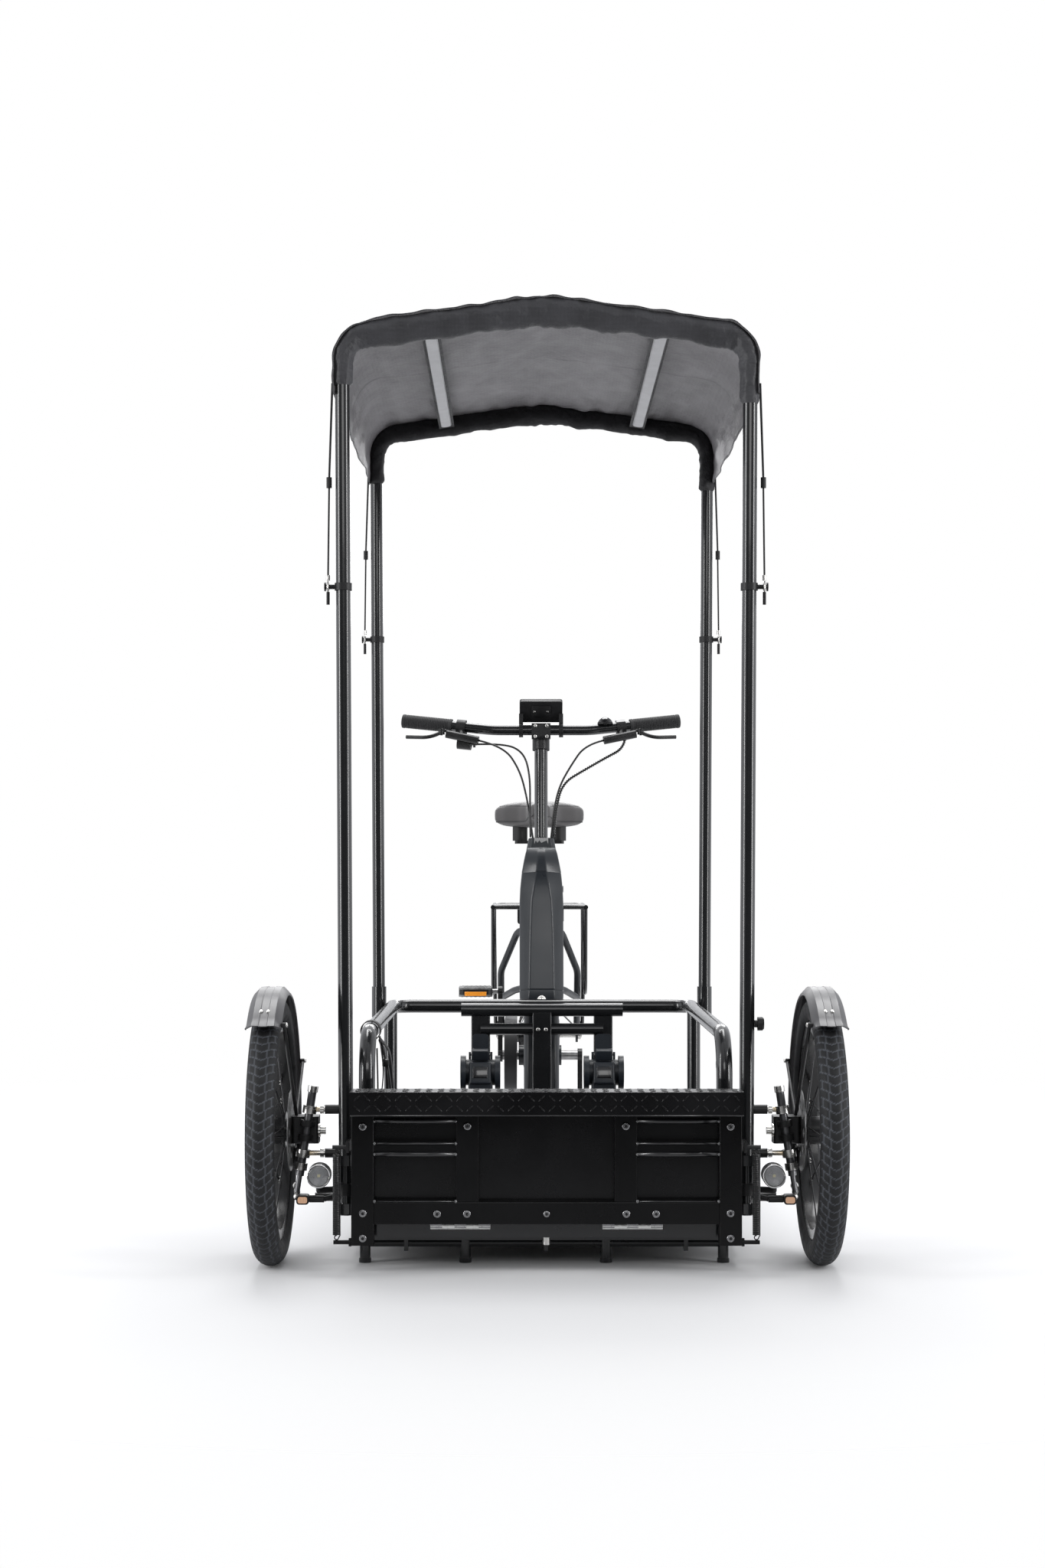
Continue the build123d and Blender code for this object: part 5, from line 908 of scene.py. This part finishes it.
# --------------------------------------------------------------------- saddle
SADDLE_DROP = 4.0


def make_saddle():
    """Wide padded saddle: two wings, a short nose and a shallow channel between."""
    low, high = (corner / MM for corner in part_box("saddle_cover"))
    half, start, end = (high.x - low.x) / 2 - 0.5, low.y + 0.5, high.y - 0.5
    outline = [(0.0, 0.08), (0.02, 0.15), (0.08, 0.22), (0.2, 0.26), (0.38, 0.31), (0.52, 0.48),
               (0.66, 0.79), (0.78, 0.97), (0.86, 1.0), (0.93, 0.9), (0.975, 0.68), (1.0, 0.4)]
    shares, widths = zip(*outline)
    stations, sides = 56, 56
    spots = (1 - np.cos(np.linspace(0, pi, stations))) / 2
    verts = []
    for share in spots:
        w = half * float(np.interp(share, shares, widths))
        tail = float(smooth_step((share - 0.93) / 0.07))
        top = high.z - 10 * (1 - float(smooth_step(share / 0.75)))
        top = top - 14 * float(smooth_step((0.06 - share) / 0.06)) - 16 * tail
        bottom = low.z - SADDLE_DROP + 16 * float(smooth_step((0.5 - share) / 0.4)) + 10 * tail
        bottom += 12 * float(smooth_step((0.05 - share) / 0.05))
        middle, rise = (top + bottom) / 2, (top - bottom) / 2
        for number in range(sides):
            turn = 2 * pi * number / sides
            c, s = cos(turn), sin(turn)
            x = w * copysign(abs(c) ** 0.66, c)
            z = middle + rise * copysign(abs(s) ** (0.62 if s > 0 else 0.5), s)
            if s > 0:
                z -= 7.0 * exp(-(x / 15.0) ** 2) * s * float(smooth_step((share - 0.2) / 0.3))
                z -= 4.0 * (abs(x) / half) ** 2 * s
            z += 0.5 * wobble(x / 22.0, share * 9, z / 25.0, seed=21)
            verts.append((x, start + (end - start) * share, z))
    faces = flipped(grid_faces(stations, sides, wrap_columns=True))
    piece = Piece().add(verts, faces + end_faces(stations, sides))
    ring = np.array(verts).reshape(stations, sides, 3)
    for column, way in ((sides - 3, 1), (sides // 2 + 3, -1)):
        seam = ring[2:-2, column] + np.array([way * 0.4, 0, 0])
        piece.add(*sweep(seam, circle(1.5, 8)), mark=1)
    for way in (-1, 1):
        line = []
        for station in range(16, stations - 6):
            shift = way * (sides // 8 + 2)
            line.append(ring[station, (sides // 4 - shift) % sides] + np.array([0, 0, 0.1]))
        piece.add(*sweep(line, circle(0.8, 6)), mark=1)
    saddle = piece.make("saddle_padded", "saddle", [saddle_vinyl, cord_fabric], "saddle_cover",
                        ["saddle_cover"])


make_saddle()

# ---------------------------------------------------------------------- grips
BAR_KNEE, BAR_END = Vector((118, 236, 1099)), Vector((338, 270, 1123))
BAR_RUN = (BAR_END - BAR_KNEE).normalized()


def make_grips():
    """Two rubber grips with close ribs, a collar at each end and a closed tip."""
    profile = [(-4.0, 3.0), (-3.6, 13.0), (-2.4, 16.2), (0.0, 17.0), (5.0, 17.0), (6.0, 16.0)]
    rib = 8.0
    while rib < 112.0:
        profile += [(rib, 15.7), (rib + 0.6, 16.7), (rib + 2.6, 16.7), (rib + 3.2, 15.7)]
        rib += 4.2
    profile += [(114.0, 16.0), (115.0, 17.0), (121.0, 17.0), (122.0, 15.6), (122.0, 12.9)]
    piece = Piece().add(*lathe(profile, BAR_END, -BAR_RUN, 40))
    piece.mirror()
    piece.make("grip_rubbers", "handlebar", [grip_rubber], "grip_rubber", ["grips"], angle=50)


make_grips()

# -------------------------------------------------------------- column battery
COLUMN_FOOT, COLUMN_HEAD = Vector((0, 80, 130)), Vector((0, 203, 830))
COLUMN_UP = (COLUMN_HEAD - COLUMN_FOOT).normalized()
COLUMN_AHEAD = Vector((0, -COLUMN_UP.z, COLUMN_UP.y))


def on_column(z, forward):
    """Point beside the steering axis, at the height where its level starts."""
    along = (z - COLUMN_FOOT.z) / COLUMN_UP.z
    return COLUMN_FOOT + COLUMN_UP * along + COLUMN_AHEAD * forward


BACK_ROUNDING = 6.0


def chamfered(half, deep, cut_x, cut_d, rounding=3.5):
    """Battery outline: flat back, chamfered front, every corner rounded."""
    corners = [(-half, -deep), (half, -deep), (half, deep - cut_d), (half - cut_x, deep),
               (-half + cut_x, deep), (-half, deep - cut_d)]
    outline = []
    size = len(corners)
    for index in range(size):
        here = Vector(corners[index])
        before = (Vector(corners[index - 1]) - here).normalized()
        after = (Vector(corners[(index + 1) % size]) - here).normalized()
        reach = rounding if index > 1 else BACK_ROUNDING
        for part in np.linspace(0, 1, 5):
            start, end = here + before * reach, here + after * reach
            outline.append(start * (1 - part) ** 2 + here * 2 * part * (1 - part) + end * part ** 2)
    return outline


def make_battery():
    """Battery case with creases, an end cap at each end, lock, button and socket."""
    levels = [(412.0, 36, 19, 14, 12, -6), (417.0, 40, 23, 15, 14, -4), (428.0, 48, 28, 18, 17, -1),
              (440.0, 52, 30.5, 22, 20, 0), (455.0, 52.4, 30.9, 23, 21, 0),
              (457.0, 51.2, 29.7, 22.6, 20.6, 0), (459.0, 52.4, 30.9, 23, 21, 0),
              (520.0, 52.4, 30.9, 24, 21, 0), (600.0, 52.4, 30.9, 26, 21, 0),
              (668.0, 52.4, 30.9, 29, 21, 0), (700.0, 51.0, 30.4, 33, 20, -0.5),
              (735.0, 47.5, 28.5, 36, 18, -1.8), (737.0, 46.4, 27.4, 35, 17, -1.8),
              (739.0, 47.2, 28.3, 36, 18, -1.8), (765.0, 42.5, 26.0, 34, 16, -3.5),
              (785.0, 38.5, 22.0, 31, 13, -8.5), (797.0, 35.0, 17.0, 29, 10, -12.5),
              (800.0, 31.0, 14.0, 25, 8, -14.0)]
    base = 64.3
    verts = []
    for z, half, deep, cut_x, cut_d, shift in levels:
        centre = on_column(z, base + shift)
        for x, d in chamfered(half, deep, cut_x, cut_d):
            verts.append(tuple(centre + Vector((x, 0, 0)) + COLUMN_AHEAD * d))
    size = len(verts) // len(levels)
    faces = grid_faces(len(levels), size, wrap_columns=True)
    piece = Piece().add(verts, faces + end_faces(len(levels), size))
    lock = on_column(433.0, base + 27.5)
    piece.add(*lathe([(0, 10.5), (3.0, 10.5), (4.0, 9.5), (4.2, 7.0), (2.6, 6.5), (2.6, 0.0)], lock,
                     COLUMN_AHEAD, 28), mark=1)
    piece.add(*soft_box(tuple(lock + COLUMN_AHEAD * 3.0), (1.6, 2.0, 7.0), 0.4), mark=2)
    spot = on_column(700.0, base - 4)
    piece.add(*lathe([(0, 8), (1.2, 8), (1.6, 7)], (spot.x + 51.0, spot.y, spot.z), (1, 0, 0), 24), mark=2)
    spot = on_column(640.0, base - 4)
    piece.add(*soft_box((52.2, spot.y, spot.z), (2.4, 22, 34), 1.0), mark=2)
    piece.make("battery_case", "battery", [slate_case, steel, black_plastic], "battery_shell",
               ["battery"], angle=24)


make_battery()


# ---------------------------------------------------------------------- belts
def make_belts():
    """Wheelchair belts hung over the rail: straps in loops, buckles and a hook."""
    piece = Piece()
    rail_x, rail_z, y0 = -350.0, 436.0, -850.0
    wrap = [(rail_x + 19.5 * cos(a), y0, rail_z + 19.5 * sin(a))
            for a in np.linspace(-0.35 * pi, 1.5 * pi, 26)]
    piece.add(*sweep(wrap, strap_outline(42, 1.8), across=(0, 1, 0)))
    routes = [
        [(-333, -846, 424), (-322, -846, 385), (-318, -848, 310), (-322, -852, 235), (-330, -853, 206),
         (-337, -851, 232), (-336, -848, 310), (-338, -846, 400)],
        [(-331, -858, 420), (-312, -858, 392), (-305, -860, 330), (-303, -858, 270), (-309, -855, 246),
         (-315, -856, 275), (-316, -858, 340), (-326, -857, 405)],
        [(-334, -840, 418), (-318, -838, 370), (-309, -838, 300), (-312, -841, 228), (-317, -842, 200)],
        [(-330, -866, 416), (-324, -866, 360), (-328, -864, 300), (-325, -862, 252)]]
    for number, route in enumerate(routes):
        line = smooth_line(route, 9)
        piece.add(*sweep(line, strap_outline(24 if number else 26, 1.7), across=(0, 1, 0.15)))
    tilt = Matrix.Rotation(0.12, 4, "Y")
    piece.add(*soft_box((-316, -842, 262), (11, 34, 46), 2.6, tilt), mark=1)
    piece.add(*soft_box((-309, -842, 264), (6, 22, 26), 1.6, tilt), mark=2)
    piece.add(*soft_box((-325, -862, 246), (10, 30, 30), 2.4), mark=1)
    piece.add(*soft_box((-320, -857, 372), (12, 32, 14), 2.4), mark=1)
    hook = [(-317, -842, 202), (-317, -842, 197)]
    hook += [(-317, -842 + 7 - 7 * cos(a), 197 - 6 * sin(a)) for a in np.linspace(0.2, 3.4, 12)]
    piece.add(*sweep(hook, circle(2.2, 10)), mark=2)
    piece.make("belt_bundle", "chassis", [webbing, black_plastic, steel], "webbing", ["restraint_belts"],
               angle=50)


make_belts()


# -------------------------------------------------------------- lamps, lenses
def make_headlights():
    """Chrome bezel, reflector bowl, emitter and domed lens of each headlight."""
    metal, glass = Piece(), Piece()
    for side in (-1, 1):
        x, front, z = side * LAMP_X, LAMP_Y, LAMP_Z
        metal.add(*lathe([(0.4, 20.2), (-0.4, 20.8), (-0.6, 21.8), (0.0, 22.8), (3.0, 23.0), (3.6, 22.4)],
                         (x, front, z), (0, 1, 0), 48))
        metal.drop(2)
        bowl = [(3.4, 19.8), (4.6, 17.0), (5.6, 12.0), (6.2, 6.0), (6.6, 4.0), (6.6, 0.0)]
        metal.add(*lathe(bowl, (x, front, z), (0, 1, 0), 40), mark=2)
        metal.drop(1)
        # Emitter, whose material has a faint painted glow.
        metal.add(*soft_box((x, front + 5.2, z), (5.5, 1.5, 5.5), 0.5), mark=1)
        dome = [(2.6, 20.1), (0.9, 20.1), (0.1, 17.0), (-0.5, 10.0), (-0.7, 0.0)]
        glass.add(*lathe(dome, (x, front, z), (0, 1, 0), 48))
    metal.make("headlight_reflectors", "chassis", [chrome, amber_glow, lamp_bowl], "steel", angle=40)
    glass.make("headlight_glass", "chassis", [clear_lens], "clear_lens", ["headlight_lenses"])


make_headlights()


# --------------------------------------------------------------- tread plates
def tread_bars(name, body, origin, right, up, out, wide, tall, pitch, bar=(21.0, 4.6, 1.3)):
    """Raised bars of a tread plate, turned one way and then the other."""
    piece = Piece()
    origin, right, up, out = (Vector(item) for item in (origin, right, up, out))
    length, width, height = bar
    around = 10
    mirrored = right.cross(up).dot(out) < 0
    columns, rows = int(wide / pitch), int(tall / pitch)
    for row in range(rows):
        for column in range(columns):
            centre = origin + right * ((column + 0.5) * wide / columns) + up * ((row + 0.5) * tall / rows)
            turn = radians(45 if (row + column) % 2 else -45)
            along = right * cos(turn) + up * sin(turn)
            across = up * cos(turn) - right * sin(turn)
            verts = []
            for scale, level in ((1.0, -0.2), (0.72, height)):
                for number in range(around):
                    angle = 2 * pi * number / around
                    spot = centre + along * (cos(angle) * length / 2 * scale)
                    spot = spot + across * (sin(angle) * width / 2 * scale) + out * level
                    verts.append(tuple(spot))
            faces = grid_faces(2, around, wrap_columns=True)
            faces.append(tuple(range(around, 2 * around)))
            piece.add(verts, flipped(faces) if mirrored else faces)
    piece.make(name, body, [plate_paint], "floor_plate", angle=50)


ACROSS, AHEAD, BACK, UP = (1, 0, 0), (0, -1, 0), (0, 1, 0), (0, 0, 1)
tread_bars("deck_tread", "chassis", (-358, -1080, 95), ACROSS, BACK, UP, 716, 1082, 27.0)
tread_bars("nose_front_tread", "ramp", (-364, -1210, 305), ACROSS, UP, AHEAD, 728, 38, 19.0, (17.0, 4.0, 1.2))
tread_bars("nose_top_tread", "ramp", (-364, -1206, 345), ACROSS, BACK, UP, 728, 66, 22.0, (19.0, 4.4, 1.2))
tread_bars("ramp_back_tread", "ramp", (-362, -1136, 110), ACROSS, UP, BACK, 724, 222, 27.0)


# --------------------------------------------------------------- held cables
CABLE_R = 2.4


def smooth_route(points):
    """Line on a smooth spline with the route's points as its control points."""
    curve = bpy.data.curves.new("route", "CURVE")
    curve.dimensions = "3D"
    spline = curve.splines.new("NURBS")
    spline.points.add(len(points) - 1)
    for target, point in zip(spline.points, points):
        target.co = (*point, 1.0)
    spline.order_u = 3
    spline.use_endpoint_u = True
    curve.resolution_u = 10
    holder = put_in_scene("route", curve)
    bpy.context.view_layer.update()
    line = bpy.data.meshes.new_from_object(holder)
    path = np.array([tuple(vert.co) for vert in line.vertices])
    bpy.data.objects.remove(holder)
    return path


def wrapped(path, radius, pitch):
    """Helix of spiral wrap round a cable."""
    _, first, second = frames_along(path)
    length = running_length(path)
    steps = int(length[-1] / pitch * 12)
    spots = np.linspace(0, length[-1], steps)
    point, one, two = (np.column_stack([np.interp(spots, length, item[:, axis]) for axis in range(3)])
                       for item in (path, first, second))
    turn = spots / pitch * 2 * pi
    return point + radius * (np.cos(turn)[:, None] * one + np.sin(turn)[:, None] * two)


def on_bar(distance, below=0.0, ahead=0.0):
    """Point a distance in from the bar's left-hand end."""
    spot = BAR_END - BAR_RUN * distance
    return Vector((spot.x, spot.y - ahead, spot.z - below))


def make_control_cables():
    """Three plain cables and a wrapped one, from the bar into the column's head."""
    tank = on_bar(188, 30, 26)
    entry_y, head = 183.7, 833.0
    routes = [
        ([(-tank.x, tank.y, tank.z), (-92, 198, 1058), (-52, 193, 1000), (-34, 196, 930),
          (-24, entry_y + 4, head + 27), (-20, entry_y, head)], False),
        ([(-tank.x - 22, tank.y + 8, tank.z - 10), (-96, 206, 1066), (-44, 203, 1046), (-27, 198, 990),
          (-27, 189, 900), (-26, entry_y - 6, head + 3)], False),
        ([tuple(tank), (108, 202, 1062), (72, 195, 1010), (44, 192, 960), (30, 190, 900),
          (24, entry_y, head)], False),
        ([(206, 230, 1080), (203, 226, 1054), (158, 205, 1030), (106, 196, 1000), (52, 194, 968),
          (36, 191, 905), (30, entry_y - 6, head + 3)], True)]
    piece = Piece()
    for route, wrap in routes:
        path = smooth_route(route)
        piece.add(*sweep(path, circle(CABLE_R, 12)))
        if wrap:
            piece.add(*sweep(wrapped(path, 3.0, 6.0), circle(0.95, 6)))
    cables = piece.make("control_hoses", None, [cable_jacket], "cable_black", ["control_cables"])
    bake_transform(cables)


make_control_cables()


# ------------------------------------------------------------- small fittings
def make_display_face():
    """Glass, bezel and two keys on the rider's side of the display."""
    turn = Matrix.Rotation(radians(-58), 4, "X")
    centre = Vector((0, 240, 1147))
    piece = Piece()
    place = centre + turn @ Vector((0, 0, 6.6))
    piece.add(*soft_box(place, (94, 48, 1.4), 0.6, turn), mark=0)
    for x in (-38, 38):
        place = centre + turn @ Vector((x, -18.5, 7.6))
        piece.add(*soft_box(place, (12, 5, 1.6), 0.7, turn), mark=1)
    back = centre + turn @ Vector((0, -2, -7.5))
    piece.add(*soft_box(back, (46, 30, 4.0), 1.2, turn), mark=1)
    for x in (-16, 16):
        place = centre + turn @ Vector((x, -2, -9.4))
        piece.add(*lathe([(0, 2.8), (1.0, 2.8), (1.4, 1.8)], place, turn @ Vector((0, 0, -1)), 14), mark=2)
    piece.make("display_face", "display", [screen_glass, black_plastic, steel], "black_plastic", angle=40)


def make_pedal_fittings(side, body):
    """Reflectors and toothed steel plates on a pedal's two long edges."""
    piece = Piece()
    level = BB_Z - side * 165.0
    middle = side * 166.0
    for way in (-1, 1):
        y = BB_Y + way * 48.6
        piece.add(*soft_box((middle, y + way * 0.6, level - 4.2), (56, 4.5, 11), 1.2))
        for rise in (9.4, -9.4):
            piece.add(*soft_box((middle, y - way * 0.4, level + rise), (82, 2.2, 5.0), 0.7), mark=1)
        for x in np.linspace(-34, 34, 7):
            for upward in (-1, 1):
                piece.add(*soft_box((middle + x, y - way * 0.4, level + upward * 11.4), (5, 2.0, 2.6), 0.6),
                          mark=1)
    name = body.replace("pedal", "pedal_fittings")
    piece.make(name, body, [orange_reflector, dull_steel], "signal_lens", angle=40)


def make_gusset_fittings():
    """Reflective strip and a star nut on each gusset's inner face."""
    strip, nut = Piece(), Piece()
    for side in (-1, 1):
        seat = (side * 346, -897, 372)
        strip.add(*soft_box((side * 345.7, -917, 270), (0.8, 9, 210), 0.3))
        nut.add(*lathe([(0, 8.5), (5, 8.5), (6.5, 7), (6.5, 0)], seat, (-side, 0, 0), 6))
        nut.add(*lathe([(0, 11), (1.5, 11), (1.6, 8)], seat, (-side, 0, 0), 24))
    strip.make("gusset_strips", "chassis", [pink_strip], "signal_lens")
    nut.make("gusset_nuts", "chassis", [steel], "steel", angle=30)


def make_socket_shade():
    """Black hexagon discs on the ramp's button heads: painted shade in place of their sockets."""
    piece = Piece()
    for x, z in ((346, 276), (149, 277), (346, 113), (346, 66), (206, 112), (150, 112), (0, 112)):
        for side in ((-1, 1) if x else (1,)):
            piece.add(*lathe([(0.0, 2.7), (0.3, 2.7)], (side * x, -1167.9, z), (0, -1, 0), 6))
    piece.make("ramp_socket_shade", "ramp", [black_plastic], "black_plastic", smooth=False)


def make_drum_covers():
    """Sloping cover with a plain pad over each belt drum."""
    piece = Piece()
    tilt, lean = Matrix.Rotation(radians(-14), 4, "X"), Matrix.Rotation(0.4, 4, "X")
    for x in (-143, 143):
        piece.add(*soft_box((x, -110, 288), (50, 12, 52), 4.0, tilt))
        piece.add(*soft_box((x, -117, 290), (34, 3, 26), 1.2, tilt), mark=1)
        piece.add(*soft_box((x, -101, 330), (40, 16, 26), 3.0, lean))
    piece.make("drum_covers", "chassis", [unit_plastic, gloss_plastic], "retractor_plastic", angle=40)


def make_hinges():
    """Silver knuckles of the two ramp hinges."""
    piece = Piece()
    radius, groove, knuckle = 7.1, 6.4, 16.3
    profile, spot = [], 0.0
    for _ in range(7):
        profile += [(spot, groove), (spot + 0.5, radius), (spot + knuckle - 0.5, radius),
                    (spot + knuckle, groove)]
        spot += knuckle
    for x in (-163, 163):
        piece.add(*lathe(profile, (x - spot / 2, -1132, 85), ACROSS, 24))
    piece.make("ramp_hinge_knuckles", "chassis", [zinc], "steel", angle=40)


def make_folds_and_highlights():
    """Rounded folds along the ramp's ribs and rails, with a lighter glossy bead at each corner as a painted
    highlight.
    """
    piece = Piece()
    face = -1164.2
    for side in (-1, 1):
        for z, radius, sink in ((313.5, 2.6, 1.6), (286.5, 5.5, 4.2), (244.5, 2.6, 1.6), (224.0, 5.5, 4.2),
                                (135.4, 1.3, 0.5)):
            ends = [(side * x, face + sink, z) for x in (171, 247, 324)]
            piece.add(*sweep(ends, circle(radius, 14)))
            # Painted highlight: lighter beads at the ends of the ribs.
            for x, _, _ in (ends[0], ends[2]):
                piece.add(*lathe([(-3.6, 0.0), (-2.6, 2.2), (0.0, 3.1), (2.6, 2.2), (3.6, 0.0)],
                                 (x, face + 1.0, z), (0, 0, 1), 12), mark=1)
    piece.add(*sweep([(x, -1210.2, 301.5) for x in (-367, 0, 367)], circle(1.2, 10)))
    piece.make("ramp_folds", "ramp", [fold_paint, fold_highlight], "ramp_black")


make_hinges()
make_folds_and_highlights()
make_socket_shade()
make_drum_covers()
make_display_face()
make_pedal_fittings(1, "pedal_left")
make_pedal_fittings(-1, "pedal_right")
make_gusset_fittings()


# ------------------------------------------------------ floor, lights, camera
def make_stage():
    """Pale round floor that fades out to the white background."""
    bpy.ops.mesh.primitive_circle_add(vertices=96, radius=9.0, fill_type="NGON")
    floor = bpy.context.object
    floor.name = "studio_floor"
    material = bpy.data.materials.new("studio_floor")
    material.use_nodes = True
    tree = material.node_tree
    tree.nodes.remove(tree.nodes["Principled BSDF"])
    coords = add(tree, "ShaderNodeTexCoord").outputs["Object"]
    reach = add(tree, "ShaderNodeVectorMath", {0: coords}, operation="LENGTH").outputs["Value"]
    fade = add(tree, "ShaderNodeMapRange", {"Value": reach, "From Min": 1.0, "From Max": 3.6},
               interpolation_type="SMOOTHSTEP").outputs["Result"]
    pale = add(tree, "ShaderNodeBsdfDiffuse", {"Color": (0.66, 0.66, 0.665, 1)}).outputs["BSDF"]
    clear = add(tree, "ShaderNodeBsdfTransparent").outputs["BSDF"]
    mix = add(tree, "ShaderNodeMixShader", {0: fade, 1: pale, 2: clear}).outputs["Shader"]
    tree.links.new(mix, tree.nodes["Material Output"].inputs["Surface"])
    floor.data.materials.append(material)


def make_world():
    """White background to look at; for light, a pale ceiling and sides, and a dim front."""
    world = bpy.data.worlds.new("studio")
    bpy.context.scene.world = world
    world.use_nodes = True
    tree = world.node_tree
    seen = wire(tree, tree.nodes["Background"], {"Color": (1, 1, 1, 1), "Strength": 1.0})
    way = add(tree, "ShaderNodeSeparateXYZ", {"Vector": add(tree, "ShaderNodeTexCoord").outputs["Generated"]})
    top = span(tree, way.outputs["Z"], 0.05, 1.0, 0.0, 0.75)
    side = span(tree, maths(tree, "ABSOLUTE", way.outputs["X"]), 0.66, 0.97, 0.0, 1.25)
    back = span(tree, way.outputs["Y"], 0.0, 1.0, 0.0, 0.55)
    total = top
    for part in (side, back, 0.1):
        total = maths(tree, "ADD", total, part)
    soft = add(tree, "ShaderNodeBackground", {"Color": (0.95, 0.965, 1.0, 1), "Strength": total})
    path = add(tree, "ShaderNodeLightPath").outputs["Is Camera Ray"]
    mix = add(tree, "ShaderNodeMixShader", {0: path, 1: soft.outputs[0], 2: seen.outputs[0]})
    tree.links.new(mix.outputs[0], tree.nodes["World Output"].inputs["Surface"])


def add_softbox(name, place, target, width, height, power):
    """Rectangular area lamp aimed at a point."""
    lamp = bpy.data.lights.new(name, "AREA")
    lamp.shape, lamp.size, lamp.size_y, lamp.energy = "RECTANGLE", width, height, power
    holder = put_in_scene(name, lamp)
    holder.location = place
    holder.rotation_euler = (Vector(target) - Vector(place)).to_track_quat("-Z", "Y").to_euler()


def make_camera():
    """Camera at the photograph's eye height, level, with its frame shifted up."""
    camera = bpy.data.cameras.new("camera")
    camera.lens, camera.sensor_width = 56.46, 36.0
    camera.shift_y = 0.0518
    holder = put_in_scene("camera", camera)
    holder.location = (-0.0454, -5.79, 0.768)
    holder.rotation_euler = (radians(90), 0, 0)
    bpy.context.scene.camera = holder


make_stage()
make_world()
make_camera()
add_softbox("key_overhead", (0, 1.3, 4.8), (0, -0.5, 0.4), 3.0, 2.4, 190)
for strip, x in (("left_strip", -3.0), ("right_strip", 3.0)):
    add_softbox(strip, (x, -2.3, 1.5), (0, -0.8, 1.0), 0.45, 3.2, 62)
add_softbox("front_fill", (0.5, -6.5, 2.9), (0, -0.8, 0.8), 3.4, 1.6, 48)
add_softbox("rear_fill", (0, 5.0, 2.8), (0, 0.4, 0.8), 4.0, 2.0, 80)
bpy.context.scene.view_settings.view_transform = "Standard"
